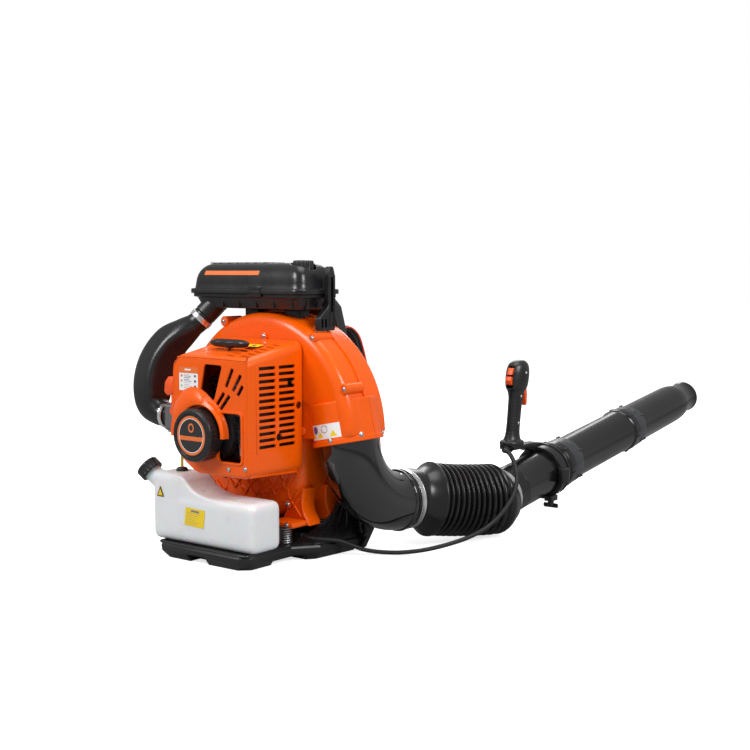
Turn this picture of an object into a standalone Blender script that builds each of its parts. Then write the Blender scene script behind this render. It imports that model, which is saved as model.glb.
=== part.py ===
"""Backpack leaf blower: a two-stroke power head on a back frame, with an articulated blower tube.

Metres. The origin is the middle of the base tray on the ground. +X is the wearer's right, +Y points
the way the wearer faces (the blower tube lies along it) and +Z is up.
"""
import math

import bmesh
import bpy
from mathutils import Matrix, Vector

GAP = 0.0003

# Base tray and back frame
BASE_HALF = 0.1045
BASE_FLARE = 0.140
BASE_FRONT = -0.140
BASE_REAR = 0.1095
BASE_TOP = 0.025
PLATE_FRONT = 0.1015
PLATE_REAR = 0.122
PLATE_WALL = 0.008
CARRY_SLOT = ((-0.050, 0.372), (0.050, 0.396))

# Springs between the tray and the power head
SPRING_PLACES = ((0.080, -0.018), (-0.080, -0.018), (0.080, 0.075), (-0.080, 0.075))
SPRING_RADIUS = 0.011
SPRING_WIRE = 0.0014
SPRING_TURNS = 6
FOOT_BOTTOM = 0.0553

# Fan housing
AXIS_HEIGHT = 0.213
HOUSING_DEPTH = 0.100
HOUSING_SPLIT = 0.050
HOUSING_WALL = 0.0035
SCROLL_START = 0.137
SCROLL_GROWTH = 0.068
SCROLL_SWEEP = 320.0
COLLAR_TOP = Vector((0.1465, 0.050, 0.262))
COLLAR_END = Vector((0.1607, 0.050, 0.1935))
COLLAR_OUTER = 0.0575
COLLAR_INNER = 0.0535
IMPELLER_RADIUS = 0.095
BLADES = 12
SHAFT_RADIUS = 0.0075
CRANK_THROW = 0.014
CRANK_WEB_RADIUS = 0.028
CRANK_PIN_RADIUS = 0.006
CYLINDER_Y = -0.044
CYLINDER_BORE = 0.0213
PISTON_RADIUS = 0.0208
FLYWHEEL_RADIUS = 0.046

# Engine cover
COVER_FRONT = -0.125
COVER_REAR = -0.002
COVER_WALL = 0.003
LOUVRE_ROWS = 13
LOUVRE_PITCH = 0.0105
LOUVRE_TOP = 0.322
STARTER_RADIUS = 0.0435
GRIP_PLACE = Vector((0.018, -0.082, 0.359))

# Fuel tank
TANK_FRONT = -0.125
TANK_REAR = -0.056
NECK_BASE = Vector((-0.112, -0.104, 0.112))
NECK_TOP = Vector((-0.1465, -0.1140, 0.1430))
NECK_RADIUS = 0.0155
CAP_RADIUS = 0.0205
CAP_DEPTH = 0.018
GROMMET = Vector((-0.089, -0.090, 0.1405))

# Air cleaner
BOX_LEFT = -0.150
BOX_RIGHT = 0.110
BOX_FRONT = -0.010
BOX_REAR = 0.090
BOX_BOTTOM = 0.4125
BOX_SEAM = 0.438
LID_TOP = 0.490
KNOB_PLACE = (0.080, 0.030)
KNOB_SEAT = 0.478
KNOB_RADIUS = 0.0175
DUCT_START = Vector((-0.1285, 0.0055, 0.3995))
DUCT_AXIS = Vector((-0.0185, -0.0165, -0.0255)).normalized()
DUCT_WALL = 0.0025

# Air path: elbow, bellows and straight tube
ELBOW_START = Vector((0.1592, 0.050, 0.200))
ELBOW_BEND = Vector((0.1612, 0.050, 0.190))
ELBOW_RADIUS = 0.105
ELBOW_BORE = 0.0435
ELBOW_OUTER = 0.051
SPIGOT_OUTER = 0.0465
SPIGOT_LENGTH = 0.018
SPIGOT_AXIS = Vector((0.135, 0.991, 0.0)).normalized()
TUBE_X = 0.250
TUBE_SLOPE = math.atan(0.148)
TUBE_START = Vector((TUBE_X, 0.352, 0.0674))
TUBE_DIRECTION = Vector((0.0, math.cos(TUBE_SLOPE), math.sin(TUBE_SLOPE)))
TUBE_OUTER = 0.0425
TUBE_WALL = 0.0025
SOCKET_OUTER = 0.0470
SWIVEL_LENGTH = 0.2297
PIPE_LENGTH = 0.277
NOZZLE_LENGTH = 0.312
BELLOWS_CREST = 0.0640
BELLOWS_VALLEY = 0.0570
BELLOWS_RIBS = 11
YAW_SHARE = 0.29
PITCH_SHARE = 0.71

# Handle
HANDLE_BASE = Vector((0.225, 0.455, 0.1513))
HANDLE_TOP = Vector((0.225, 0.478, 0.309))
TRIGGER_PIVOT = Vector((0.225, 0.478, 0.262))
CLAMP_Y = 0.530
CLAMP_OUTER = 0.0495
BOSS_X = 0.302
BOSS_Y = CLAMP_Y - 0.012
WING_X = 0.270
WING_Y = CLAMP_Y - 0.004
SLOT_HALF = 0.0062

# Throttle cable
CABLE_RADIUS = 0.004
CABLE_ROUTE = (
    (0.0975, 0.0100, 0.0335),
    (0.1080, 0.0112, 0.0328),
    (0.1200, 0.0165, 0.0316),
    (0.1330, 0.0280, 0.0305),
    (0.1445, 0.0450, 0.0270),
    (0.1545, 0.0640, 0.0180),
    (0.1690, 0.0830, 0.0085),
    (0.1900, 0.1000, 0.0047),
    (0.2190, 0.1170, 0.0050),
    (0.2480, 0.1380, 0.0090),
    (0.2710, 0.1700, 0.0150),
    (0.2880, 0.2080, 0.0225),
    (0.2980, 0.2450, 0.0320),
    (0.3050, 0.2760, 0.0460),
    (0.3100, 0.3020, 0.0645),
    (0.3125, 0.3220, 0.0850),
    (0.3095, 0.3370, 0.1060),
    (0.3000, 0.3490, 0.1250),
    (0.2850, 0.3630, 0.1395),
    (0.2650, 0.3820, 0.1470),
    (0.2440, 0.4040, 0.1465),
    (0.2320, 0.4220, 0.1448),
    (0.2300, 0.4342, 0.1445),
)
CABLE_CUTS = (0.228, 0.296)
CABLE_GAP = 0.0008
CABLE_STEP = 0.018

COLOURS = {
    "orange": ((0.87, 0.12, 0.01), 0.32, 0.0),
    "black": ((0.022, 0.022, 0.024), 0.45, 0.0),
    "gloss": ((0.012, 0.012, 0.013), 0.16, 0.0),
    "rubber": ((0.016, 0.016, 0.017), 0.62, 0.0),
    "milky": ((0.83, 0.85, 0.84), 0.38, 0.0),
    "steel": ((0.62, 0.63, 0.65), 0.28, 1.0),
    "alloy": ((0.50, 0.51, 0.53), 0.45, 1.0),
    "fabric": ((0.025, 0.025, 0.027), 0.90, 0.0),
    "yellow": ((0.80, 0.60, 0.06), 0.35, 0.0),
    "foam": ((0.30, 0.28, 0.24), 0.95, 0.0),
}

# Pivot points: each is the world place of a joint axis and the pivot that carries it.
PIVOTS = {}
EMPTIES = {}


def clear_scene():
    for item in list(bpy.data.objects):
        bpy.data.objects.remove(item, do_unlink=True)


def add_pivot(name, place, parent=None):
    """An empty on a joint axis. Moving parts hang from it."""
    empty = bpy.data.objects.new("pivot_" + name, None)
    empty.empty_display_size = 0.02
    bpy.context.scene.collection.objects.link(empty)
    place = Vector(place)
    empty.location = place
    if parent:
        empty.parent = EMPTIES[parent]
        empty.location = place - PIVOTS[parent]
    PIVOTS[name] = place
    EMPTIES[name] = empty


def make_material(name, colour_name):
    colour, roughness, metallic = COLOURS[colour_name]
    material = bpy.data.materials.new(name)
    material.use_nodes = True
    shader = material.node_tree.nodes["Principled BSDF"]
    shader.inputs["Base Color"].default_value = (*colour, 1.0)
    shader.inputs["Roughness"].default_value = roughness
    shader.inputs["Metallic"].default_value = metallic
    return material


def hang(item, pivot):
    """Puts an object's origin on its joint axis and parents it there."""
    if pivot:
        item.data.transform(Matrix.Translation(-PIVOTS[pivot]))
        item.parent = EMPTIES[pivot]


def add_part(name, bm, colour_name, pivot=None):
    """Turns a bmesh in world coordinates into one named part."""
    bmesh.ops.recalc_face_normals(bm, faces=bm.faces)
    mesh = bpy.data.meshes.new(name)
    bm.to_mesh(mesh)
    bm.free()
    mesh.shade_smooth()
    mesh.set_sharp_from_angle(angle=math.radians(35))
    mesh.materials.append(make_material(name, colour_name))
    item = bpy.data.objects.new(name, mesh)
    bpy.context.scene.collection.objects.link(item)
    hang(item, pivot)
    return item


def add_tool(name, bm):
    """A hidden helper solid, used only by Boolean modifiers."""
    bmesh.ops.recalc_face_normals(bm, faces=bm.faces)
    mesh = bpy.data.meshes.new(name)
    bm.to_mesh(mesh)
    bm.free()
    item = bpy.data.objects.new(name, mesh)
    item.hide_render = True
    item.display_type = "WIRE"
    bpy.context.scene.collection.objects.link(item)
    return item


def combine(target, operation, bm, label):
    """Adds an exact Boolean modifier that joins or cuts the target with a solid."""
    tool = add_tool(f"{target.name}_{label}_tool", bm)
    modifier = target.modifiers.new(label, "BOOLEAN")
    modifier.operation = operation
    modifier.solver = "EXACT"
    modifier.object = tool


def cut(target, bm, label):
    combine(target, "DIFFERENCE", bm, label)


def fuse(target, bm, label):
    combine(target, "UNION", bm, label)


def boxes(*corner_pairs):
    """Separate boxes in one bmesh, each from its lowest and highest corners."""
    bm = bmesh.new()
    for low, high in corner_pairs:
        centre = (Vector(low) + Vector(high)) / 2
        size = Vector(high) - Vector(low)
        matrix = Matrix.Translation(centre) @ Matrix.Diagonal((*size, 1.0))
        bmesh.ops.create_cube(bm, size=1.0, matrix=matrix)
    return bm


def rounded_box(low, high, radius, segments=2):
    bm = boxes((low, high))
    edges = list(bm.edges)
    bmesh.ops.bevel(bm, geom=edges, offset=radius, segments=segments, profile=0.5, affect="EDGES")
    return bm


def loft(rings, closed=False):
    """A skin over rings of equal length, capped at both ends, or joined last to first."""
    bm = bmesh.new()
    loops = [[bm.verts.new(point) for point in ring] for ring in rings]
    pairs = list(zip(loops, loops[1:]))
    if closed:
        pairs.append((loops[-1], loops[0]))
    for lower, upper in pairs:
        for i in range(len(lower)):
            j = (i + 1) % len(lower)
            bm.faces.new((lower[i], lower[j], upper[j], upper[i]))
    if not closed:
        bm.faces.new(list(reversed(loops[0])))
        bm.faces.new(loops[-1])
    return bm


def plate_ring(outline, axis, level):
    """A flat outline placed in space, square to an axis."""
    if axis == "X":
        return [(level, a, b) for a, b in outline]
    if axis == "Y":
        return [(a, level, b) for a, b in outline]
    return [(a, b, level) for a, b in outline]


def prism(outline, axis, low, high):
    return loft([plate_ring(outline, axis, low), plate_ring(outline, axis, high)])


def signed_area(outline):
    pairs = zip(outline, outline[1:] + outline[:1])
    return sum(a[0] * b[1] - b[0] * a[1] for a, b in pairs) / 2


def inset(outline, distance):
    """The outline moved inwards by a distance, corner by corner."""
    turn = 1.0 if signed_area(outline) > 0 else -1.0
    result = []
    count = len(outline)
    for i, point in enumerate(outline):
        here = Vector(point)
        before = (here - Vector(outline[i - 1])).normalized()
        after = (Vector(outline[(i + 1) % count]) - here).normalized()
        inward = Vector((-before.y - after.y, before.x + after.x)) * turn
        inward.normalize()
        side = Vector((-before.y, before.x)) * turn
        result.append(tuple(here + inward * distance / max(inward.dot(side), 0.4)))
    return result


def rounded_rectangle(low, high, radius, steps=3):
    """Counter-clockwise outline with round corners."""
    corners = (
        (high[0] - radius, high[1] - radius, 0),
        (low[0] + radius, high[1] - radius, 90),
        (low[0] + radius, low[1] + radius, 180),
        (high[0] - radius, low[1] + radius, 270),
    )
    outline = []
    for x, y, start in corners:
        for k in range(steps + 1):
            angle = math.radians(start + 90 * k / steps)
            outline.append((x + radius * math.cos(angle), y + radius * math.sin(angle)))
    return outline


def mirror_outline(half):
    """Completes a symmetric outline from its right half, listed bottom to top."""
    return half + [(-x, z) for x, z in reversed(half)]


def side_frame(direction):
    """Two unit vectors square to a direction."""
    direction = Vector(direction).normalized()
    helper = Vector((0, 0, 1)) if abs(direction.z) < 0.9 else Vector((1, 0, 0))
    first = direction.cross(helper).normalized()
    return first, first.cross(direction).normalized()


def ring(centre, first, second, radius, sides):
    points = []
    for k in range(sides):
        angle = 2 * math.pi * k / sides
        points.append(centre + first * radius * math.cos(angle) + second * radius * math.sin(angle))
    return points


def turned(profile, base, direction, sides=24):
    """A turned solid or ring. The profile lists (radius, height); a ring's profile is a closed loop."""
    direction = Vector(direction).normalized()
    base = Vector(base)
    first, second = side_frame(direction)
    solid = profile[0][0] == 0 and profile[-1][0] == 0
    inner = profile[1:-1] if solid else profile
    rings = [ring(base + direction * height, first, second, radius, sides) for radius, height in inner]
    return loft(rings, closed=not solid)


def rod(start, end, radius, sides=20):
    start = Vector(start)
    end = Vector(end)
    length = (end - start).length
    return turned([(0, 0), (radius, 0), (radius, length), (0, length)], start, end - start, sides)


def pipe_ring(centre, direction, inner, outer, width, sides=24):
    """A plain band centred on a point of its axis."""
    half = width / 2
    profile = [(outer, -half), (outer, half), (inner, half), (inner, -half)]
    return turned(profile, centre, direction, sides)


def catmull(points, t):
    """A smooth curve through the points; t runs from 0 to the number of spans."""
    last = len(points) - 1
    index = min(int(t), last - 1)
    local = t - index
    p1 = Vector(points[index])
    p2 = Vector(points[index + 1])
    p0 = Vector(points[index - 1]) if index > 0 else p1 * 2 - p2
    p3 = Vector(points[index + 2]) if index + 2 <= last else p2 * 2 - p1
    bend = p0 * 2 - p1 * 5 + p2 * 4 - p3
    twist = p1 * 3 - p0 - p2 * 3 + p3
    return (p1 * 2 + (p2 - p0) * local + bend * local ** 2 + twist * local ** 3) / 2


def even_path(points, step):
    """Points a step apart along the smooth curve through a route."""
    spans = len(points) - 1
    fine = [catmull(points, spans * k / (spans * 40)) for k in range(spans * 40 + 1)]
    lengths = [0.0]
    for a, b in zip(fine, fine[1:]):
        lengths.append(lengths[-1] + (b - a).length)
    count = max(2, round(lengths[-1] / step))
    path = []
    index = 0
    for k in range(count + 1):
        target = lengths[-1] * k / count
        while index < len(lengths) - 2 and lengths[index + 1] < target:
            index += 1
        share = (target - lengths[index]) / (lengths[index + 1] - lengths[index])
        path.append(fine[index].lerp(fine[index + 1], share))
    return path


def path_frames(points, before=None, after=None):
    """Side vectors carried along a path without twisting. before and after extend it for its end faces."""
    points = [Vector(p) for p in points]
    line = [before or points[0]] + points + [after or points[-1]]
    tangents = [(line[i + 2] - line[i]).normalized() for i in range(len(points))]
    first, second = side_frame(tangents[0])
    frames = []
    for tangent in tangents:
        first = (first - tangent * first.dot(tangent)).normalized()
        second = first.cross(tangent).normalized()
        frames.append((first, second))
    return points, frames


def hose(points, outer, inner, sides=20, before=None, after=None):
    """A hollow tube along a path, with outer and inner radii for each point."""
    points, frames = path_frames(points, before, after)
    outside = [ring(p, f[0], f[1], r, sides) for p, f, r in zip(points, frames, outer)]
    inside = [ring(p, f[0], f[1], r, sides) for p, f, r in zip(points, frames, inner)]
    return loft(outside + inside[::-1], closed=True)


def band(points, widths, thicknesses, wide):
    """A flat strap along a path; wide is the direction of its width."""
    points = [Vector(p) for p in points]
    rings = []
    for i, point in enumerate(points):
        ahead = points[min(i + 1, len(points) - 1)]
        behind = points[max(i - 1, 0)]
        tangent = (ahead - behind).normalized()
        across = Vector(wide)
        across = (across - tangent * across.dot(tangent)).normalized()
        normal = across.cross(tangent)
        half = widths[i] / 2
        depth = thicknesses[i] / 2
        rim = half - depth * 0.6
        section = ((-half, 0), (-rim, -depth), (rim, -depth), (half, 0), (rim, depth), (-rim, depth))
        rings.append([point + across * a + normal * b for a, b in section])
    return loft(rings)


def add_cord(name, points, radius, colour_name):
    """A plain round cord along a path."""
    data = bpy.data.curves.new(name, "CURVE")
    data.dimensions = "3D"
    data.bevel_depth = radius
    data.bevel_resolution = 2
    data.use_fill_caps = True
    spline = data.splines.new("POLY")
    spline.points.add(len(points) - 1)
    for target, point in zip(spline.points, points):
        target.co = (*point, 1.0)
    data.materials.append(make_material(name, colour_name))
    item = bpy.data.objects.new(name, data)
    bpy.context.scene.collection.objects.link(item)
    return item


# ---------------------------------------------------------------- frame and harness

def base_outline(shrink=0.0):
    half = BASE_HALF - shrink
    flare = BASE_FLARE - shrink
    front = BASE_FRONT + shrink
    rear = BASE_REAR - shrink
    right = [
        (flare, rear), (flare - 0.007, 0.010), (half, -0.030), (half, front + 0.016), (half - 0.016, front),
    ]
    return right[::-1] + [(-x, y) for x, y in right]


def make_base_plate():
    levels = ((0.0, 0.010), (0.012, 0.001), (BASE_TOP - 0.004, 0.0), (BASE_TOP, 0.003))
    rings = [plate_ring(base_outline(shrink), "Z", level) for level, shrink in levels]
    part = add_part("base_plate", loft(rings), "black")
    notches = boxes(
        ((-0.029, -0.150, -0.010), (0.013, -0.108, 0.013)),
        ((0.080, -0.070, -0.010), (0.150, -0.005, 0.009)),
        ((-0.150, -0.070, -0.010), (-0.080, -0.005, 0.009)),
    )
    cut(part, notches, "notches")
    x, y, z = CABLE_ROUTE[0]
    gland = ((x - 0.0155, y - 0.0065, BASE_TOP - 0.001), (x - 3 * GAP, y + 0.0065, z + 0.0065))
    fuse(part, boxes(gland), "cable_gland")


def plate_outline():
    half = [(0.140, 0.003), (0.158, 0.037), (0.156, 0.100), (0.147, 0.170), (0.121, 0.286),
            (0.094, 0.385), (0.086, 0.415), (0.070, 0.431)]
    return mirror_outline(half)


def make_back_plate():
    part = add_part("back_plate", prism(plate_outline(), "Y", PLATE_FRONT, PLATE_REAR), "black")
    hollow = prism(inset(plate_outline(), PLATE_WALL), "Y", PLATE_FRONT - 0.02, PLATE_REAR - PLATE_WALL)
    cut(part, hollow, "hollow")
    cut(part, boxes(((-0.2, 0.09, -0.01), (0.2, BASE_REAR + GAP, BASE_TOP + 0.001))), "seat")
    slot = rounded_rectangle(*CARRY_SLOT, 0.011)
    cut(part, prism(slot, "Y", 0.09, 0.14), "carry_slot")
    path, frames = path_frames(elbow_path())
    clearance = ELBOW_OUTER + 0.0035
    rings = [ring(point, frame[0], frame[1], clearance, 16) for point, frame in zip(path, frames)]
    cut(part, loft(rings), "elbow_clearance")


def make_back_pad():
    low = (-0.062, PLATE_REAR + GAP, 0.080)
    high = (0.062, 0.140, 0.345)
    add_part("back_pad", rounded_box(low, high, 0.0075), "fabric")


def make_shoulder_strap(name, side):
    route = (
        (0.063 * side, 0.1255, 0.366),
        (0.064 * side, 0.138, 0.377),
        (0.067 * side, 0.154, 0.374),
        (0.074 * side, 0.165, 0.342),
        (0.088 * side, 0.172, 0.270),
        (0.096 * side, 0.178, 0.215),
        (0.098 * side, 0.184, 0.160),
        (0.098 * side, 0.182, 0.110),
        (0.098 * side, 0.174, 0.075),
    )
    path = even_path(route, 0.014)
    count = len(path) - 1
    widths = []
    depths = []
    for k in range(count + 1):
        share = k / count
        swell = min(1.0, share * 6, (1 - share) * 5)
        widths.append(0.014 + 0.036 * swell)
        depths.append(0.004 + 0.008 * swell)
    add_part(name, band(path, widths, depths, (1, 0, 0)), "fabric")


def make_strap_buckle(name, side):
    x = 0.098 * side
    add_part(name, rounded_box((x - 0.016, 0.159, 0.040), (x + 0.016, 0.168, 0.070), 0.003), "black")


def make_strap_webbing(name, side):
    """The lower adjusting strap, from the buckle down to the foot of the back plate."""
    x = 0.098 * side
    route = (
        (x, 0.1630, 0.0385), (x, 0.1620, 0.0290), (x, 0.1520, 0.0230), (x, 0.1380, 0.0250),
        (x, 0.1245, 0.0340),
    )
    path = even_path(route, 0.007)
    add_part(name, band(path, [0.025] * len(path), [0.003] * len(path), (1, 0, 0)), "fabric")


# ---------------------------------------------------------------- springs

def make_spring(name, x, y):
    low = BASE_TOP + SPRING_WIRE + GAP
    high = FOOT_BOTTOM - SPRING_WIRE - GAP
    steps = SPRING_TURNS * 7
    points = []
    for k in range(steps + 1):
        angle = 2 * math.pi * k / 7
        height = low + (high - low) * k / steps
        points.append((x + SPRING_RADIUS * math.cos(angle), y + SPRING_RADIUS * math.sin(angle), height))
    path, frames = path_frames(points)
    rings = [ring(p, f[0], f[1], SPRING_WIRE, 3) for p, f in zip(path, frames)]
    add_part(name, loft(rings), "steel")


# ---------------------------------------------------------------- fuel system

def make_fuel_tank():
    low = (-0.128, TANK_FRONT, BASE_TOP + GAP)
    part = add_part("fuel_tank", rounded_box(low, (0.108, TANK_REAR, 0.107), 0.012, 3), "milky")
    tower_low = (-0.1275, TANK_FRONT + 0.0005, 0.060)
    tower_high = (-0.054, TANK_REAR - 0.0005, 0.1395)
    fuse(part, rounded_box(tower_low, tower_high, 0.011, 3), "tower")
    fuse(part, rod(NECK_BASE, NECK_TOP, NECK_RADIUS), "neck")
    axis = (NECK_TOP - NECK_BASE).normalized()
    cut(part, rod(NECK_TOP - axis * 0.022, NECK_TOP + axis * 0.01, NECK_RADIUS - 0.0025), "throat")


def make_fuel_cap():
    """A cap that sits over the neck: a plug-shaped cup with its socket cut from below."""
    axis = (NECK_TOP - NECK_BASE).normalized()
    skirt = 0.012
    top = CAP_DEPTH - skirt
    socket_radius = NECK_RADIUS + 2 * GAP
    profile = [
        (0, -skirt), (CAP_RADIUS, -skirt), (CAP_RADIUS, top - 0.002), (CAP_RADIUS - 0.002, top), (0, top),
    ]
    part = add_part("fuel_cap", turned(profile, NECK_TOP, axis), "black", "cap")
    cut(part, rod(NECK_TOP - axis * 0.05, NECK_TOP + axis * GAP * 2, socket_radius), "socket")


def make_fuel_line_parts():
    profile = [(0, 0), (0.010, 0), (0.010, 0.003), (0.0075, 0.006), (0, 0.006)]
    add_part("fuel_grommet", turned(profile, GROMMET - Vector((0, 0, 0.0007)), (0, 0, 1), 16), "rubber")
    route = (
        GROMMET + Vector((0, 0, 0.0058)),
        (-0.0890, -0.0900, 0.1600),
        (-0.0905, -0.0890, 0.1780),
        (-0.0955, -0.0830, 0.1900),
        (-0.0985, -0.0800, 0.1985),
        (-0.0985, -0.0800, 0.2044),
    )
    add_cord("fuel_line", even_path(route, 0.007), 0.0025, "yellow")


# ---------------------------------------------------------------- fan housing

def scroll_outline():
    """The snail outline in X and Z: it grows clockwise from the tongue round to the outlet."""
    outline = [(0.1015, 0.198), (0.1025, 0.150), (0.0985, 0.119)]
    for sweep in range(12, int(SCROLL_SWEEP) + 1, 14):
        radius = SCROLL_START + SCROLL_GROWTH * (sweep / SCROLL_SWEEP) ** 0.55
        angle = math.radians(-40 - sweep)
        outline.append((radius * math.cos(angle), AXIS_HEIGHT + radius * math.sin(angle)))
    outline.append((0.196, 0.204))
    return outline[::-1]


def housing_shell(levels):
    rings = [plate_ring(inset(scroll_outline(), shrink), "Y", level) for level, shrink in levels]
    return loft(rings)


def housing_cavity():
    rings = [
        plate_ring(inset(scroll_outline(), HOUSING_WALL + 0.006), "Y", HOUSING_WALL),
        plate_ring(inset(scroll_outline(), HOUSING_WALL), "Y", 0.012),
        plate_ring(inset(scroll_outline(), HOUSING_WALL), "Y", HOUSING_DEPTH - 0.012),
        plate_ring(inset(scroll_outline(), HOUSING_WALL + 0.006), "Y", HOUSING_DEPTH - HOUSING_WALL),
    ]
    return loft(rings)


def collar_bore():
    axis = (COLLAR_END - COLLAR_TOP).normalized()
    return rod(COLLAR_TOP + axis * 0.006, COLLAR_END + axis * 0.010, COLLAR_INNER, 28)


def housing_feet(web_low, web_high, plate_low, plate_high):
    """Feet on the springs: an upright web and a flat plate on each side."""
    pairs = []
    for side in (1, -1):
        near = 0.060 * side
        far = 0.112 * side
        left, right = min(near, far), max(near, far)
        pairs.append(((left, web_low, FOOT_BOTTOM), (right, web_high, 0.112)))
        pairs.append(((left + 0.001, plate_low, FOOT_BOTTOM + 0.0001), (right - 0.001, plate_high, 0.065)))
    return pairs


def make_fan_housing_front():
    levels = ((0.0, 0.012), (0.0035, 0.0045), (0.012, 0.0), (HOUSING_SPLIT - GAP, 0.0))
    part = add_part("fan_housing_front", housing_shell(levels), "orange")
    fuse(part, rod(COLLAR_TOP, COLLAR_END, COLLAR_OUTER, 28), "collar")
    for index, pair in enumerate(housing_feet(0.001, 0.030, -0.034, 0.020)):
        fuse(part, boxes(pair), f"foot_{index}")
    for index, (x, z) in enumerate(((-0.0805, 0.3895), (0.121, 0.367), (0.188, 0.287))):
        fuse(part, rod((x, 0.008, z), (x, 0.038, z), 0.010, 12), f"boss_{index}")
    cut(part, housing_cavity(), "cavity")
    cut(part, collar_bore(), "bore")
    cut(part, rod((0, -0.01, AXIS_HEIGHT), (0, 0.012, AXIS_HEIGHT), 0.022, 20), "shaft_hole")
    cut(part, boxes(((-0.3, HOUSING_SPLIT - GAP / 2, -0.1), (0.3, 0.3, 0.6))), "split")


def make_fan_housing_rear():
    levels = (
        (HOUSING_SPLIT + GAP, 0.0), (HOUSING_DEPTH - 0.012, 0.0), (HOUSING_DEPTH - 0.0035, 0.0045),
        (HOUSING_DEPTH, 0.012),
    )
    part = add_part("fan_housing_rear", housing_shell(levels), "orange")
    fuse(part, rod(COLLAR_TOP, COLLAR_END, COLLAR_OUTER, 28), "collar")
    for index, pair in enumerate(housing_feet(0.060, 0.092, 0.056, 0.096)):
        fuse(part, boxes(pair), f"foot_{index}")
    cut(part, housing_cavity(), "cavity")
    cut(part, collar_bore(), "bore")
    cut(part, rod((0, 0.080, AXIS_HEIGHT), (0, 0.120, AXIS_HEIGHT), 0.078, 28), "inlet")
    cut(part, boxes(((-0.3, -0.3, -0.1), (0.3, HOUSING_SPLIT + GAP / 2, 0.6))), "split")
    cut(part, boxes(((-0.3, PLATE_FRONT - 0.001, -0.1), (0.3, 0.3, 0.6))), "back")


def make_impeller():
    profile = [
        (IMPELLER_RADIUS, 0.030), (IMPELLER_RADIUS, 0.034), (0.022, 0.036), (0.018, 0.074),
        (SHAFT_RADIUS + GAP, 0.074), (SHAFT_RADIUS + GAP, 0.020), (0.018, 0.020), (0.020, 0.030),
    ]
    part = add_part("impeller", turned(profile, (0, 0, AXIS_HEIGHT), (0, 1, 0), 36), "black", "rotor")
    blades = bmesh.new()
    for k in range(BLADES):
        turn = Matrix.Translation((0, 0, AXIS_HEIGHT)) @ Matrix.Rotation(2 * math.pi * k / BLADES, 4, "Y")
        lean = Matrix.Rotation(math.radians(28), 4, "Y")
        size = Matrix.Diagonal((0.046, 0.041, 0.0024, 1.0))
        place = Matrix.Translation((0.066, 0.0535, 0))
        bmesh.ops.create_cube(blades, size=1.0, matrix=turn @ place @ lean @ size)
    fuse(part, blades, "blades")


def make_crankshaft():
    """Two webs joined by the crank pin, with a shaft end on each side."""
    web = CRANK_WEB_RADIUS
    shaft = SHAFT_RADIUS
    front = [(0, -0.107), (shaft, -0.107), (shaft, -0.056), (web, -0.056), (web, -0.048), (0, -0.048)]
    part = add_part("crankshaft", turned(front, (0, 0, AXIS_HEIGHT), (0, 1, 0)), "alloy", "rotor")
    rear = [(0, -0.040), (web, -0.040), (web, -0.032), (shaft, -0.032), (shaft, 0.078), (0, 0.078)]
    pin_height = AXIS_HEIGHT - CRANK_THROW
    fuse(part, rod((0, -0.052, pin_height), (0, -0.036, pin_height), CRANK_PIN_RADIUS, 12), "pin")
    fuse(part, turned(rear, (0, 0, AXIS_HEIGHT), (0, 1, 0)), "rear_half")


def make_flywheel():
    profile = [
        (FLYWHEEL_RADIUS, -0.104), (FLYWHEEL_RADIUS, -0.090), (0.020, -0.087), (SHAFT_RADIUS + GAP, -0.087),
        (SHAFT_RADIUS + GAP, -0.104),
    ]
    add_part("flywheel", turned(profile, (0, 0, AXIS_HEIGHT), (0, 1, 0), 28), "alloy", "rotor")


# ---------------------------------------------------------------- engine

def make_crankcase():
    low = (-0.045, -0.082, 0.168)
    high = (0.045, -0.008, 0.2570)
    part = add_part("crankcase", rounded_box(low, high, 0.006), "alloy")
    chamber_radius = CRANK_WEB_RADIUS + 0.003
    cut(part, rod((0, -0.060, AXIS_HEIGHT), (0, -0.028, AXIS_HEIGHT), chamber_radius), "chamber")
    cut(part, rod((0, CYLINDER_Y, AXIS_HEIGHT), (0, CYLINDER_Y, 0.30), CYLINDER_BORE + 0.0005), "throat")
    cut(part, rod((0, -0.10, AXIS_HEIGHT), (0, 0.02, AXIS_HEIGHT), SHAFT_RADIUS + GAP), "bearings")


def make_cylinder():
    """A finned barrel with a blind bore and a threaded plug hole."""
    core = 0.027
    fin = 0.036
    levels = [(0.2573, core), (0.2620, core)]
    for k in range(5):
        base = 0.2620 + 0.0090 * k
        levels += [(base, fin), (base + 0.003, fin), (base + 0.003, core), (base + 0.0090, core)]
    rings = []
    for height, half in levels:
        outline = rounded_rectangle((-half, CYLINDER_Y - half), (half, CYLINDER_Y + half), 0.010, 2)
        rings.append(plate_ring(outline, "Z", height))
    part = add_part("cylinder", loft(rings), "alloy")
    cut(part, rod((0, CYLINDER_Y, 0.24), (0, CYLINDER_Y, 0.2945), CYLINDER_BORE), "bore")
    cut(part, rod((0, CYLINDER_Y, 0.28), (0, CYLINDER_Y, 0.32), 0.0052, 12), "plug_hole")


def make_piston():
    profile = [(0, 0.2445), (PISTON_RADIUS, 0.2445), (PISTON_RADIUS, 0.2645), (0, 0.2645)]
    add_part("piston", turned(profile, (0, CYLINDER_Y, 0), (0, 0, 1), 20), "alloy", "piston")


def make_spark_plug():
    profile = [
        (0, 0.297), (0.0048, 0.297), (0.0048, 0.3075), (0.009, 0.3075), (0.009, 0.314),
        (0.0055, 0.316), (0.0055, 0.322), (0.0095, 0.324), (0.0085, 0.340), (0, 0.340),
    ]
    add_part("spark_plug", turned(profile, (0, CYLINDER_Y, 0), (0, 0, 1), 12), "rubber")


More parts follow.
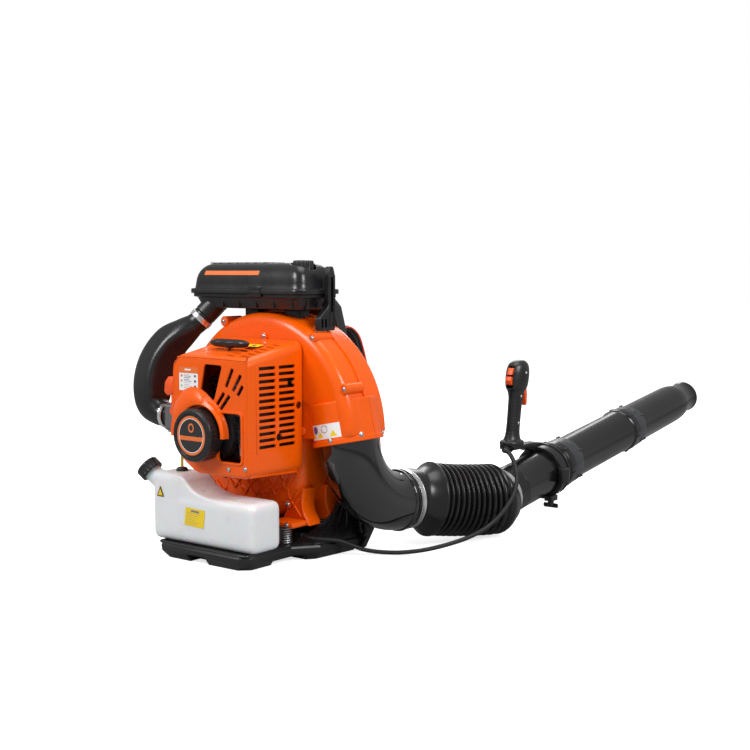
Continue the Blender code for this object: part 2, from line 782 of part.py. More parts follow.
def make_muffler():
    low = Vector((0.052, -0.104, 0.172))
    high = Vector((0.092, -0.020, 0.250))
    wall = Vector((0.0015, 0.0015, 0.0015))
    part = add_part("muffler", rounded_box(low, high, 0.008, 2), "steel")
    cut(part, rounded_box(low + wall, high - wall, 0.007, 1), "chamber")
    cut(part, rod((0.072, -0.11, 0.185), (0.072, -0.09, 0.185), 0.006, 12), "outlet")


def make_carburetor():
    low = (-0.135, -0.088, 0.205)
    high = (-0.0915, -0.042, 0.250)
    part = add_part("carburetor", rounded_box(low, high, 0.004), "alloy")
    cut(part, rod((-0.120, -0.058, 0.19), (-0.120, -0.058, 0.213), 0.0105, 16), "bulb_socket")


def make_primer_bulb():
    profile = [(0, 0.1940), (0.0055, 0.1950), (0.0088, 0.1990), (0.0098, 0.2075), (0, 0.2075)]
    add_part("primer_bulb", turned(profile, (-0.120, -0.058, 0), (0, 0, 1), 14), "yellow", "primer")


def make_choke_lever():
    hub = rod((-0.106, -0.0940, 0.240), (-0.106, -0.0885, 0.240), 0.008, 16)
    part = add_part("choke_lever", hub, "orange", "choke")
    arm = [
        (-0.1095, 0.240), (-0.1025, 0.240), (-0.1010, 0.282), (-0.0970, 0.298), (-0.1120, 0.298),
        (-0.1110, 0.282),
    ]
    fuse(part, prism(arm, "Y", -0.0935, -0.0890), "arm")


# ---------------------------------------------------------------- engine cover and starter

def cover_outline(rear):
    """Outline of the cover in X and Z, front face or rear rim."""
    grow = 0.004 if rear else 0.0
    rise = 0.023 if rear else 0.0
    return [
        (-0.085 - grow, 0.198), (-0.052, 0.166 - grow), (-0.020, 0.147 - grow), (0.092, 0.147 - grow),
        (0.100 + grow, 0.156), (0.100 + grow, 0.330 + rise), (0.092 + grow, 0.339 + rise),
        (-0.052, 0.341 + rise), (-0.075 - grow, 0.334 + rise), (-0.085 - grow, 0.318 + rise),
    ]


def cover_solid(shrink, front, rear):
    face = inset(cover_outline(False), shrink + 0.004)
    shoulder = inset(cover_outline(False), shrink)
    rim = inset(cover_outline(True), shrink)
    levels = ((face, front), (shoulder, front + 0.004), (rim, rear))
    return loft([plate_ring(outline, "Y", level) for outline, level in levels])


def louvre_boxes():
    """Two columns of short slots through the right side."""
    pairs = []
    for row in range(LOUVRE_ROWS):
        z = LOUVRE_TOP - LOUVRE_PITCH * row
        pairs.append(((0.085, -0.101, z - 0.0026), (0.120, -0.064, z + 0.0026)))
        pairs.append(((0.085, -0.056, z - 0.0026), (0.120, -0.019, z + 0.0026)))
    return pairs


def slanted_slot(start, end, width):
    """A slot through the front face between two points in X and Z."""
    a = Vector(start)
    b = Vector(end)
    along = (b - a).normalized()
    side = Vector((-along.y, along.x)) * width / 2
    outline = [tuple(a + side), tuple(a - side), tuple(b - side), tuple(b + side)]
    return prism(outline, "Y", -0.14, -0.115)


def make_engine_cover():
    part = add_part("engine_cover", cover_solid(0.0, COVER_FRONT, COVER_REAR), "orange")
    cut(part, cover_solid(COVER_WALL, COVER_FRONT + COVER_WALL, COVER_REAR + 0.01), "hollow")
    window = [(0.003, 0.327), (0.043, 0.326), (0.024, 0.268), (-0.008, 0.279)]
    cut(part, prism(window, "Y", -0.14, -0.115), "window")
    cut(part, rounded_slab((0.033, 0.172), (0.084, 0.250)), "muffler_window")
    slots = (
        ((0.066, 0.322), (0.051, 0.292)),
        ((0.084, 0.313), (0.066, 0.286)),
        ((0.088, 0.296), (0.076, 0.279)),
        ((0.047, 0.283), (0.030, 0.262)),
        ((0.059, 0.279), (0.038, 0.255)),
    )
    for index, (start, end) in enumerate(slots):
        cut(part, slanted_slot(start, end, 0.0065), f"slot_{index}")
    cut(part, boxes(*louvre_boxes()), "louvres")
    cut(part, rod((0, -0.14, AXIS_HEIGHT), (0, -0.115, AXIS_HEIGHT), 0.036), "starter_hole")
    reach = Vector((0, 0, 0.03))
    cut(part, rod(GRIP_PLACE - reach, GRIP_PLACE + reach, 0.005, 12), "rope_hole")


def rounded_slab(low, high):
    return prism(rounded_rectangle(low, high, 0.006, 2), "Y", -0.14, -0.115)


def make_starter_housing():
    """A cup with a rounded front and a spindle for the pulley."""
    r = STARTER_RADIUS
    profile = [
        (0, -0.1545), (0.0335, -0.1545), (0.0350, -0.1530), (r - 0.003, -0.1530), (r, -0.1490),
        (r, -0.1255), (r - 0.003, -0.1255), (r - 0.003, -0.1500), (0.0055, -0.1500), (0.0055, -0.1095),
        (0, -0.1095),
    ]
    add_part("starter_housing", turned(profile, (0, 0, AXIS_HEIGHT), (0, 1, 0), 32), "black")


def make_starter_pulley():
    profile = [
        (0.034, -0.1215), (0.034, -0.1190), (0.030, -0.1175), (0.030, -0.1135), (0.034, -0.1120),
        (0.034, -0.1095), (0.0058, -0.1095), (0.0058, -0.1215),
    ]
    add_part("starter_pulley", turned(profile, (0, 0, AXIS_HEIGHT), (0, 1, 0), 24), "black", "pulley")


def make_starter_grip():
    g = GRIP_PLACE
    half = 0.043
    low = (g.x - half, g.y - 0.009, g.z - 0.007)
    high = (g.x + half, g.y + 0.009, g.z + 0.007)
    add_part("starter_grip", rounded_box(low, high, 0.005, 3), "black", "grip")
    end = g - Vector((0, 0, 0.0073))
    add_part("starter_rope", rod(end - Vector((0, 0, 0.024)), end, 0.002, 8), "fabric", "grip")


# ---------------------------------------------------------------- air cleaner

def box_outline(shrink, radius=0.018):
    low = (BOX_LEFT + shrink, BOX_FRONT + shrink)
    high = (BOX_RIGHT - shrink, BOX_REAR - shrink)
    return rounded_rectangle(low, high, radius)


def make_air_cleaner_base():
    rings = [
        plate_ring(box_outline(0.013), "Z", BOX_BOTTOM),
        plate_ring(box_outline(0.004), "Z", BOX_SEAM - 0.006),
        plate_ring(box_outline(0.0), "Z", BOX_SEAM - 0.005),
        plate_ring(box_outline(0.0), "Z", BOX_SEAM - GAP),
    ]
    part = add_part("air_cleaner_base", loft(rings), "black")
    fuse(part, rod((-0.110, 0.022, 0.425), DUCT_START + DUCT_AXIS * -GAP * 2, 0.0200, 20), "spigot")
    floor = plate_ring(box_outline(0.017), "Z", BOX_BOTTOM + 0.003)
    mouth = plate_ring(box_outline(0.007), "Z", BOX_SEAM + 0.01)
    cut(part, loft([floor, mouth]), "hollow")
    cut(part, rod((-0.110, 0.022, 0.4205), DUCT_START + DUCT_AXIS * 0.01, 0.0172, 20), "spigot_bore")


def make_air_cleaner_lid():
    levels = (
        (BOX_SEAM, -0.003), (BOX_SEAM + 0.008, -0.003), (BOX_SEAM + 0.009, 0.002), (0.470, 0.005),
        (0.484, 0.011), (LID_TOP, 0.024),
    )
    rings = [plate_ring(box_outline(shrink), "Z", level) for level, shrink in levels]
    part = add_part("air_cleaner_lid", loft(rings), "black", "lid")
    mouth = plate_ring(box_outline(0.007), "Z", BOX_SEAM - 0.008)
    ceiling = plate_ring(box_outline(0.009), "Z", 0.474)
    cut(part, loft([mouth, ceiling]), "hollow")
    x, y = KNOB_PLACE
    cut(part, rod((x, y, KNOB_SEAT), (x, y, 0.52), KNOB_RADIUS + 0.004), "knob_seat")
    cut(part, rod((x, y, 0.43), (x, y, 0.52), 0.0036, 12), "stud_hole")


def make_air_filter():
    add_part("air_filter", rounded_box((-0.080, 0.011, 0.420), (0.056, 0.069, 0.470), 0.004), "foam")


def make_air_cleaner_knob():
    x, y = KNOB_PLACE
    top = 0.4935
    seat = KNOB_SEAT + GAP
    profile = [
        (0, 0.450), (0.0030, 0.450), (0.0030, seat), (KNOB_RADIUS, seat), (KNOB_RADIUS, top - 0.002),
        (KNOB_RADIUS - 0.002, top), (0, top),
    ]
    add_part("air_cleaner_knob", turned(profile, (x, y, 0), (0, 0, 1), 20), "black", "knob")


def make_air_cleaner_bracket():
    """The upright at the right end that ties the air cleaner to the fan housing."""
    outline = [
        (0.020, 0.378), (0.060, 0.378), (0.060, 0.470), (0.054, 0.484), (0.026, 0.484), (0.020, 0.470),
    ]
    add_part("air_cleaner_bracket", prism(outline, "X", 0.1135, 0.1245), "black")


def duct_route():
    return (
        DUCT_START,
        DUCT_START + DUCT_AXIS * 0.016,
        (-0.1560, -0.0190, 0.3690),
        (-0.1780, -0.0330, 0.3480),
        (-0.1930, -0.0470, 0.3150),
        (-0.1955, -0.0580, 0.2780),
        (-0.1860, -0.0645, 0.2450),
        (-0.1660, -0.0660, 0.2300),
        (-0.1490, -0.0660, 0.2275),
        (-0.1360, -0.0660, 0.2275),
    )


def make_intake_duct():
    path = even_path(duct_route(), 0.019)
    last = len(path) - 1
    outer = []
    for k in range(last + 1):
        share = k / last
        swell = math.sin(math.pi * min(1.0, max(0.0, (share - 0.14) / 0.76))) ** 0.7
        outer.append(0.0195 + 0.0085 * swell)
    inner = [radius - DUCT_WALL for radius in outer]
    before = DUCT_START - DUCT_AXIS * 0.01
    after = path[-1] + Vector((0.01, 0, 0))
    add_part("intake_duct", hose(path, outer, inner, 12, before, after), "black")


# ---------------------------------------------------------------- air path

def elbow_path():
    """Straight out of the collar, then a quarter turn to point forwards."""
    points = [ELBOW_START]
    steps = 7
    for k in range(steps + 1):
        turn = math.radians(90 * k / steps)
        drift = 0.0225 * (k / steps)
        forward = ELBOW_RADIUS * (1 - math.cos(turn))
        down = ELBOW_RADIUS * math.sin(turn)
        points.append(ELBOW_BEND + Vector((drift, forward, -down)))
    points.append(points[-1] + SPIGOT_AXIS * SPIGOT_LENGTH)
    return points


def bellows_route():
    end = elbow_path()[-1]
    front = [tube_point(y) for y in (0.346, 0.359, 0.372, 0.385)]
    return (
        end - SPIGOT_AXIS * 0.0150, end, end + SPIGOT_AXIS * 0.014, (0.2015, 0.2210, 0.0790),
        (0.2200, 0.2700, 0.0720), (0.2385, 0.3150, 0.0680), *front,
    )


def make_elbow():
    path = elbow_path()
    outer = [ELBOW_OUTER] * (len(path) - 2) + [SPIGOT_OUTER] * 2
    outer[0] = ELBOW_OUTER - 0.0005
    path.insert(-2, path[-3].lerp(path[-2], 0.8))
    outer.insert(-2, ELBOW_OUTER)
    inner = [ELBOW_BORE] * len(path)
    after = path[-1] + SPIGOT_AXIS * 0.01
    add_part("elbow", hose(path, outer, inner, 18, None, after), "gloss")


def bellows_profile():
    """Shares along the bellows with outer and inner radii: a cuff, the ribs, and a cuff."""
    rear_cuff = (0.0504, 0.0486)
    front_cuff = (0.0457, 0.0438)
    profile = [(0.0, *rear_cuff), (0.105, *rear_cuff)]
    first = 0.125
    last = 0.865
    for k in range(2 * BELLOWS_RIBS + 1):
        share = first + (last - first) * k / (2 * BELLOWS_RIBS)
        crest = k % 2 == 1
        outer = BELLOWS_CREST if crest else BELLOWS_VALLEY
        profile.append((share, outer, outer - 0.004))
    profile += [(0.885, *front_cuff), (1.0, *front_cuff)]
    return profile


def bellows_point(share):
    fine = even_path(bellows_route(), 0.002)
    place = share * (len(fine) - 1)
    index = min(int(place), len(fine) - 2)
    return fine[index].lerp(fine[index + 1], place - index)


def bellows_piece(name, low, high, pivot):
    profile = bellows_profile()

    def radii(share):
        for before, after in zip(profile, profile[1:]):
            if before[0] <= share <= after[0]:
                mix = (share - before[0]) / (after[0] - before[0])
                return tuple(a + (b - a) * mix for a, b in zip(before[1:], after[1:]))
        return profile[-1][1:]

    trim = 0.0016
    start = low + (trim if low > 0 else 0)
    end = high - (trim if high < 1 else 0)
    shares = [start] + [p[0] for p in profile if start < p[0] < end] + [end]
    points = [bellows_point(share) for share in shares]
    outer = [radii(share)[0] for share in shares]
    inner = [radii(share)[1] for share in shares]
    before = bellows_point(start - 0.004) if low > 0 else points[0] - SPIGOT_AXIS * 0.01
    after = bellows_point(end + 0.004) if high < 1 else points[-1] + TUBE_DIRECTION * 0.01
    add_part(name, hose(points, outer, inner, 16, before, after), "rubber", pivot)


def make_bellows():
    bellows_piece("bellows_rear", 0.0, YAW_SHARE, None)
    bellows_piece("bellows_middle", YAW_SHARE, PITCH_SHARE, "yaw")
    bellows_piece("bellows_front", PITCH_SHARE, 1.0, "pitch")


def make_hose_clamps():
    rear = elbow_path()[-1] - SPIGOT_AXIS * 0.005
    add_part("clamp_rear", pipe_ring(rear, SPIGOT_AXIS, 0.0514, 0.0531, 0.009, 20), "steel")
    front = pipe_ring(tube_point(0.373), TUBE_DIRECTION, 0.0465, 0.0482, 0.010, 20)
    add_part("clamp_front", front, "steel", "pitch")


def tube_piece(name, start, outside, bore):
    """A turned tube on the blower axis; both profiles list (distance, radius) from its rear end."""
    base = TUBE_START + TUBE_DIRECTION * start
    loop = [(radius, distance) for distance, radius in outside + bore[::-1]]
    add_part(name, turned(loop, base, TUBE_DIRECTION, 24), "black", "swivel")


def make_tubes():
    bore = TUBE_OUTER - TUBE_WALL
    end = SWIVEL_LENGTH
    outside = [(0.0, TUBE_OUTER), (end - 0.020, TUBE_OUTER), (end - 0.018, SOCKET_OUTER), (end, SOCKET_OUTER)]
    tube_piece("swivel_pipe", 0.0, outside, [(0.0, bore), (end, bore)])
    start = SWIVEL_LENGTH + GAP
    end = PIPE_LENGTH
    outside = [
        (0.0, 0.0462), (0.030, 0.0455), (0.034, TUBE_OUTER), (end - 0.020, TUBE_OUTER), (end - 0.018, 0.0455),
        (end, 0.0455),
    ]
    tube_piece("blower_pipe", start, outside, [(0.0, bore), (end, bore)])
    start += PIPE_LENGTH + GAP
    end = NOZZLE_LENGTH
    outside = [
        (0.0, 0.0450), (0.030, 0.0440), (0.034, 0.0412), (0.225, 0.0405), (0.255, 0.0375), (0.278, 0.0325),
        (end - 0.018, 0.0315), (end, 0.0340),
    ]
    bore = [(0.0, 0.0385), (0.235, 0.0385), (end - 0.035, 0.0290), (end - 0.012, 0.0290), (end, 0.0315)]
    tube_piece("nozzle", start, outside, bore)


# ---------------------------------------------------------------- handle

def tube_point(y):
    """The point of the blower axis at a given Y."""
    return TUBE_START + TUBE_DIRECTION * ((y - TUBE_START.y) / TUBE_DIRECTION.y)


def make_handle_bracket():
    centre = tube_point(CLAMP_Y)
    clamp = pipe_ring(centre, TUBE_DIRECTION, TUBE_OUTER + GAP, CLAMP_OUTER, 0.028, 28)
    part = add_part("handle_bracket", clamp, "black", "swivel")
    arm = [
        (0.436, 0.1435), (0.478, 0.1435), (0.520, 0.1310), (0.543, 0.1360), (0.543, 0.1470), (0.525, 0.1480),
        (0.495, 0.1510), (0.436, 0.1510),
    ]
    fuse(part, prism(arm, "X", 0.211, 0.243), "arm")
    x, y, z = CABLE_ROUTE[-1]
    fuse(part, rod((x, y + 4 * GAP, z), (x, y + 0.010, z), 0.0062, 12), "cable_boss")
    fuse(part, rod((BOSS_X, BOSS_Y, 0.078), (BOSS_X, BOSS_Y, 0.106), 0.011, 16), "boss")
    fuse(part, boxes(((0.288, CLAMP_Y - 0.019, 0.084), (0.303, CLAMP_Y - 0.006, 0.100))), "boss_web")
    cut(part, rod((BOSS_X, BOSS_Y, 0.06), (BOSS_X, BOSS_Y, 0.12), 0.0055, 12), "boss_hole")
    cut(part, rod(tube_point(0.45), tube_point(0.60), TUBE_OUTER + GAP, 28), "tube_bore")
    fuse(part, boxes(((0.262, CLAMP_Y - 0.015, 0.0395), (0.278, CLAMP_Y + 0.008, 0.0500))), "screw_lug")


def make_clamp_wing():
    """The wing screw under the clamp."""
    screw = rod((WING_X, WING_Y, 0.0280), (WING_X, WING_Y, 0.0390), 0.006, 14)
    part = add_part("clamp_wing", screw, "black", "wing")
    low = (WING_X - 0.016, WING_Y - 0.0025, 0.0260)
    high = (WING_X + 0.016, WING_Y + 0.0025, 0.0350)
    fuse(part, rounded_box(low, high, 0.0020, 1), "wings")


def handle_rings():
    """Oval sections up the grip and the head: height share, half width in X and half depth in Y."""
    sections = (
        (0.000, 0.0210, 0.0250), (0.040, 0.0210, 0.0250), (0.055, 0.0140, 0.0185), (0.180, 0.0118, 0.0160),
        (0.450, 0.0118, 0.0165), (0.610, 0.0125, 0.0180), (0.680, 0.0168, 0.0228), (0.860, 0.0178, 0.0240),
        (0.950, 0.0155, 0.0205), (1.000, 0.0100, 0.0130),
    )
    rings = []
    for share, half_x, half_y in sections:
        centre = HANDLE_BASE.lerp(HANDLE_TOP, share)
        points = []
        for k in range(20):
            angle = 2 * math.pi * (k + 0.5) / 20
            points.append(centre + Vector((half_x * math.cos(angle), half_y * math.sin(angle), 0)))
        rings.append(points)
    return rings


def make_handle_shell(name, side):
    part = add_part(name, loft(handle_rings()), "black", "swivel")
    low = HANDLE_BASE.x - 0.05 if side > 0 else HANDLE_BASE.x - GAP / 2
    high = HANDLE_BASE.x + GAP / 2 if side > 0 else HANDLE_BASE.x + 0.05
    cut(part, boxes(((low, 0.40, 0.10), (high, 0.55, 0.36))), "split")
    p = TRIGGER_PIVOT
    left = p.x - SLOT_HALF
    right = p.x + SLOT_HALF
    cut(part, boxes(((left, p.y - 0.006, 0.212), (right, p.y + 0.040, p.z + 0.007))), "trigger_slot")
    cut(part, boxes(((left, 0.435, 0.258), (right, 0.465, 0.299))), "switch_slot")


def make_throttle_trigger():
    p = TRIGGER_PIVOT
    shape = (
        (-0.0040, 0.0040), (0.0040, 0.0050), (0.0215, -0.0060), (0.0235, -0.0180), (0.0225, -0.0390),
        (0.0165, -0.0400), (0.0150, -0.0180), (-0.0040, -0.0040),
    )
    outline = [(p.y + y, p.z + z) for y, z in shape]
    add_part("throttle_trigger", prism(outline, "X", p.x - 0.0055, p.x + 0.0055), "orange", "trigger")


def make_stop_switch():
    outline = [(0.4440, 0.2830), (0.4620, 0.2830), (0.4620, 0.2950), (0.4500, 0.2955)]
    add_part("stop_switch", prism(outline, "X", 0.2195, 0.2305), "orange", "stop")


def make_cruise_lever():
    hub = rod((0.2195, 0.4560, 0.2700), (0.2305, 0.4560, 0.2700), 0.0085, 16)
    part = add_part("cruise_lever", hub, "orange", "cruise")
    outline = [(0.4430, 0.2650), (0.4560, 0.2640), (0.4560, 0.2760), (0.4430, 0.2800), (0.4400, 0.2730)]
    fuse(part, prism(outline, "X", 0.2197, 0.2303), "thumb")


# ---------------------------------------------------------------- throttle cable

def make_throttle_cable():
    """One conduit in three lengths, so that it can follow the bends of the bellows and the swivel."""
    path = even_path(CABLE_ROUTE, CABLE_STEP)
    first, second = [min(i for i, p in enumerate(path) if p.y > y) for y in CABLE_CUTS]
    pieces = {"rear": path[:first + 1], "middle": path[first:second + 1], "front": path[second:]}
    for name, points in pieces.items():
        if name != "rear":
            points = [points[0].lerp(points[1], CABLE_GAP / CABLE_STEP)] + points[1:]
        add_cord("throttle_cable_" + name, points, CABLE_RADIUS, "rubber")


def make_pivots():
    axis = Vector((0, 0, AXIS_HEIGHT))
    add_pivot("rotor", axis)
    add_pivot("pulley", axis)
    add_pivot("grip", GRIP_PLACE)
    add_pivot("piston", (0, CYLINDER_Y, 0.2545))
    add_pivot("cap", NECK_TOP)
    add_pivot("lid", (0, 0.040, BOX_SEAM))
    add_pivot("knob", (*KNOB_PLACE, KNOB_SEAT), "lid")
    add_pivot("choke", (-0.106, -0.091, 0.240))
    add_pivot("primer", (-0.120, -0.058, 0.200))
    add_pivot("yaw", bellows_point(YAW_SHARE))
    add_pivot("pitch", bellows_point(PITCH_SHARE), "yaw")
    add_pivot("swivel", TUBE_START, "pitch")
    add_pivot("trigger", TRIGGER_PIVOT, "swivel")
    add_pivot("stop", (0.225, 0.453, 0.289), "swivel")
    add_pivot("cruise", (0.225, 0.456, 0.270), "swivel")
    add_pivot("wing", (WING_X, WING_Y, 0.0330), "swivel")


def make_frame():
    make_base_plate()
    make_back_plate()
    make_back_pad()
    for side_name, side in (("right", 1), ("left", -1)):
        make_shoulder_strap(f"shoulder_strap_{side_name}", side)
        make_strap_buckle(f"strap_buckle_{side_name}", side)
        make_strap_webbing(f"strap_webbing_{side_name}", side)
    for number, (x, y) in enumerate(SPRING_PLACES, start=1):
        make_spring(f"mount_spring_{number}", x, y)


def make_power_head():
    make_fuel_tank()
    make_fuel_cap()
    make_fuel_line_parts()
    make_fan_housing_front()
    make_fan_housing_rear()
    make_impeller()
    make_crankshaft()
    make_flywheel()
    make_crankcase()
    make_cylinder()
    make_piston()
    make_spark_plug()
    make_muffler()
    make_carburetor()
    make_primer_bulb()
    make_choke_lever()
    make_engine_cover()
    make_starter_housing()
    make_starter_pulley()
    make_starter_grip()
    make_air_cleaner_base()
    make_air_cleaner_lid()
    make_air_filter()
    make_air_cleaner_knob()
    make_air_cleaner_bracket()
    make_intake_duct()


def make_tube_line():
    make_elbow()
    make_bellows()
    make_hose_clamps()
    make_tubes()
    make_handle_bracket()
    make_clamp_wing()
    make_handle_shell("handle_shell_right", 1)
    make_handle_shell("handle_shell_left", -1)
    make_throttle_trigger()
    make_stop_switch()
    make_cruise_lever()
    make_throttle_cable()


def main():
    clear_scene()
    make_pivots()
    make_frame()
    make_power_head()
    make_tube_line()


main()
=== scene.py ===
"""Looks of a backpack leaf blower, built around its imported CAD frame.

Metres, in the CAD's own frame: +Z up, +Y the way the wearer faces, +X the wearer's right.
"""
import math

import bmesh
import bpy
from mathutils import Matrix, Vector


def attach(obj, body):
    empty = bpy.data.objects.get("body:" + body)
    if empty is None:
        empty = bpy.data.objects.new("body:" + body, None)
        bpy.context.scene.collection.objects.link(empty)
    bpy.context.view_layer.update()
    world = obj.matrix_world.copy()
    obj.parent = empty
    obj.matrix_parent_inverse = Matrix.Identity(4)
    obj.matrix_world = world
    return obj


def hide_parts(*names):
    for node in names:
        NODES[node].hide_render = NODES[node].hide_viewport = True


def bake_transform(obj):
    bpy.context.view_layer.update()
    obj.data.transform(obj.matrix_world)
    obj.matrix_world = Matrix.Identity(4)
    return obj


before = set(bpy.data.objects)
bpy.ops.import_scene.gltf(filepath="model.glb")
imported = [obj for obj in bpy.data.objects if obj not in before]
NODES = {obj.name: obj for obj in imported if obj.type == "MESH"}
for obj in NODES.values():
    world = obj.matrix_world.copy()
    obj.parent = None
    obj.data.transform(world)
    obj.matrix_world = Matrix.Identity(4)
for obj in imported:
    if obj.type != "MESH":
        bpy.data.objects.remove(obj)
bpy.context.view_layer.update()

SCENE = bpy.context.scene
TAU = 2 * math.pi
SIDES = (("right", 1), ("left", -1))

# Blower line, as in the CAD
TUBE_START = Vector((0.25, 0.352, 0.0674))
TUBE_AXIS = Vector((0.0, 1.0, 0.148)).normalized()
SPIGOT_AXIS = Vector((0.135, 0.991, 0.0)).normalized()
HUB_Z = 0.213
ROTOR = Vector((0.0, 0.0, HUB_Z))
NECK_TOP = Vector((-0.1465, -0.114, 0.143))
NECK_AXIS = Vector((-0.72712, -0.21076, 0.65336)).normalized()
HOSE_START = Vector((0.1837, 0.155, 0.085))
DUCT_START = Vector((-0.1285, 0.0055, 0.3995))
DUCT_AXIS = Vector((-0.0185, -0.0165, -0.0255)).normalized()
SPRINGS = ((0.08, -0.018), (-0.08, -0.018), (0.08, 0.075), (-0.08, 0.075))
EARS = ((-0.0805, 0.3895), (0.121, 0.367), (0.188, 0.287))


# ---------------------------------------------------------------- materials

def linear(red, green, blue):
    """Display values from 0 to 255 as linear light."""
    def one(value):
        value /= 255
        return value / 12.92 if value <= 0.04045 else ((value + 0.055) / 1.055) ** 2.4
    return (one(red), one(green), one(blue), 1.0)


def scaled(colour, factor):
    return tuple(min(1.0, c * factor) for c in colour[:3]) + (1.0,)


def surface(name, colour, roughness, grain=900.0, bump=0.05, mottle=0.1, edge=0.0012, rough_span=0.08,
            stretch=None, **sockets):
    """A procedural surface: patchy colour and gloss, a fine grain in relief and softened edges."""
    colour = linear(*colour)
    material = bpy.data.materials.new(name)
    material.use_nodes = True
    tree = material.node_tree
    shader = tree.nodes["Principled BSDF"]
    for socket, value in sockets.items():
        shader.inputs[socket.replace("_", " ")].default_value = value

    def node(kind, **values):
        made = tree.nodes.new(kind)
        for key, value in values.items():
            if hasattr(made, key):
                setattr(made, key, value)
            else:
                made.inputs[key.replace("_", " ")].default_value = value
        return made

    link = tree.links.new
    place = node("ShaderNodeTexCoord").outputs["Object"]
    if stretch:
        mapping = node("ShaderNodeMapping", Scale=stretch)
        link(place, mapping.inputs["Vector"])
        place = mapping.outputs["Vector"]
    patches = node("ShaderNodeTexNoise", Scale=26.0, Detail=5.0, Roughness=0.6)
    fine = node("ShaderNodeTexNoise", Scale=grain, Detail=3.0, Roughness=0.55)
    link(place, patches.inputs["Vector"])
    link(place, fine.inputs["Vector"])
    tint = node("ShaderNodeMix", data_type="RGBA")
    tint.inputs[6].default_value = scaled(colour, 1 - mottle)
    tint.inputs[7].default_value = scaled(colour, 1 + mottle)
    link(patches.outputs["Fac"], tint.inputs[0])
    link(tint.outputs[2], shader.inputs["Base Color"])
    gloss = node("ShaderNodeMapRange", To_Min=max(0.02, roughness - rough_span),
                 To_Max=roughness + rough_span)
    gloss.inputs["From Min"].default_value = 0.3
    gloss.inputs["From Max"].default_value = 0.7
    link(patches.outputs["Fac"], gloss.inputs["Value"])
    link(gloss.outputs["Result"], shader.inputs["Roughness"])
    relief = node("ShaderNodeBump", Strength=bump, Distance=0.0006)
    link(fine.outputs["Fac"], relief.inputs["Height"])
    if edge:
        soft = node("ShaderNodeBevel", samples=4, Radius=edge)
        link(soft.outputs["Normal"], relief.inputs["Normal"])
    link(relief.outputs["Normal"], shader.inputs["Normal"])
    return material


M = {
    "orange": surface("orange_moulded", (242, 92, 0), 0.27, 1400, 0.04, 0.05, 0.0016, 0.05, Coat_Weight=0.15,
                      Coat_Roughness=0.08, Specular_IOR_Level=0.3),
    "orange_matt": surface("orange_small", (240, 84, 14), 0.38, 1600, 0.08, 0.06, 0.0008, 0.06),
    "black": surface("black_moulded", (24, 24, 26), 0.33, 1100, 0.16, 0.16, 0.0014, 0.07),
    "satin": surface("black_satin", (22, 22, 24), 0.27, 1300, 0.12, 0.14, 0.002, 0.06),
    "gloss": surface("black_polished", (10, 10, 11), 0.11, 500, 0.02, 0.12, 0.0012, 0.03, Coat_Weight=0.8,
                     Coat_Roughness=0.06),
    "tube": surface("black_tube", (16, 16, 17), 0.22, 700, 0.04, 0.14, 0.001, 0.06),
    "socket": surface("grey_socket", (52, 53, 57), 0.36, 900, 0.1, 0.12, 0.001, 0.07),
    "hose": surface("bellows_rubber", (14, 14, 15), 0.28, 800, 0.07, 0.16, 0.0008, 0.06),
    "rubber": surface("soft_rubber", (25, 25, 26), 0.55, 1200, 0.25, 0.14, 0.0006, 0.08),
    "milky": surface("tank_milky", (226, 228, 230), 0.32, 500, 0.05, 0.03, 0.0, 0.07, Subsurface_Weight=0.55,
                     Subsurface_Scale=0.012, Specular_IOR_Level=0.45),
    "steel": surface("steel_band", (222, 222, 224), 0.26, 700, 0.03, 0.05, 0.0004, 0.06, Metallic=1.0),
    "screw": surface("screw_steel", (190, 192, 196), 0.26, 1500, 0.1, 0.12, 0.0003, 0.1, Metallic=1.0),
    "alloy": surface("cast_alloy", (118, 119, 122), 0.52, 1300, 0.55, 0.16, 0.0008, 0.1, Metallic=0.85),
    "fabric": surface("pad_fabric", (27, 27, 29), 0.86, 2600, 0.55, 0.2, 0.0, 0.06, Sheen_Weight=0.35,
                      Sheen_Roughness=0.5),
    "webbing": surface("webbing", (24, 24, 26), 0.8, 900, 0.7, 0.22, 0.0, 0.06, (1, 1, 5), Sheen_Weight=0.25),
    "piping": surface("orange_piping", (214, 62, 20), 0.72, 2200, 0.45, 0.12, 0.0, 0.06, Sheen_Weight=0.3),
    "foam": surface("filter_foam", (92, 90, 84), 0.95, 900, 0.9, 0.25, 0.0, 0.04),
    "amber": surface("fuel_hose", (236, 214, 74), 0.22, 900, 0.05, 0.1, 0.0, 0.05, Transmission_Weight=0.45,
                     IOR=1.45),
}
INKS = (
    ("white_label", "label_white", (236, 236, 236), 0.42, 0.03),
    ("yellow_label", "label_yellow", (238, 204, 26), 0.42, 0.05),
    ("grey_ink", "label_grey", (120, 120, 124), 0.5, 0.06),
    ("dark_ink", "label_dark", (34, 34, 36), 0.45, 0.06),
    ("orange_ink", "label_orange", (228, 112, 48), 0.42, 0.05),
    ("red_ink", "label_red", (206, 60, 52), 0.42, 0.05),
    ("blue_ink", "label_blue", (70, 88, 140), 0.42, 0.05),
    ("green_ink", "label_green", (140, 190, 70), 0.42, 0.05),
)
for key, ink_name, colour, roughness, mottle in INKS:
    M[key] = surface(ink_name, colour, roughness, 1500, 0.05, mottle, 0.0, 0.05)


# ---------------------------------------------------------------- mesh tools

def linked(name, bm):
    """bm as an object of the scene."""
    mesh = bpy.data.meshes.new(name)
    bm.to_mesh(mesh)
    bm.free()
    piece = bpy.data.objects.new(name, mesh)
    SCENE.collection.objects.link(piece)
    return piece


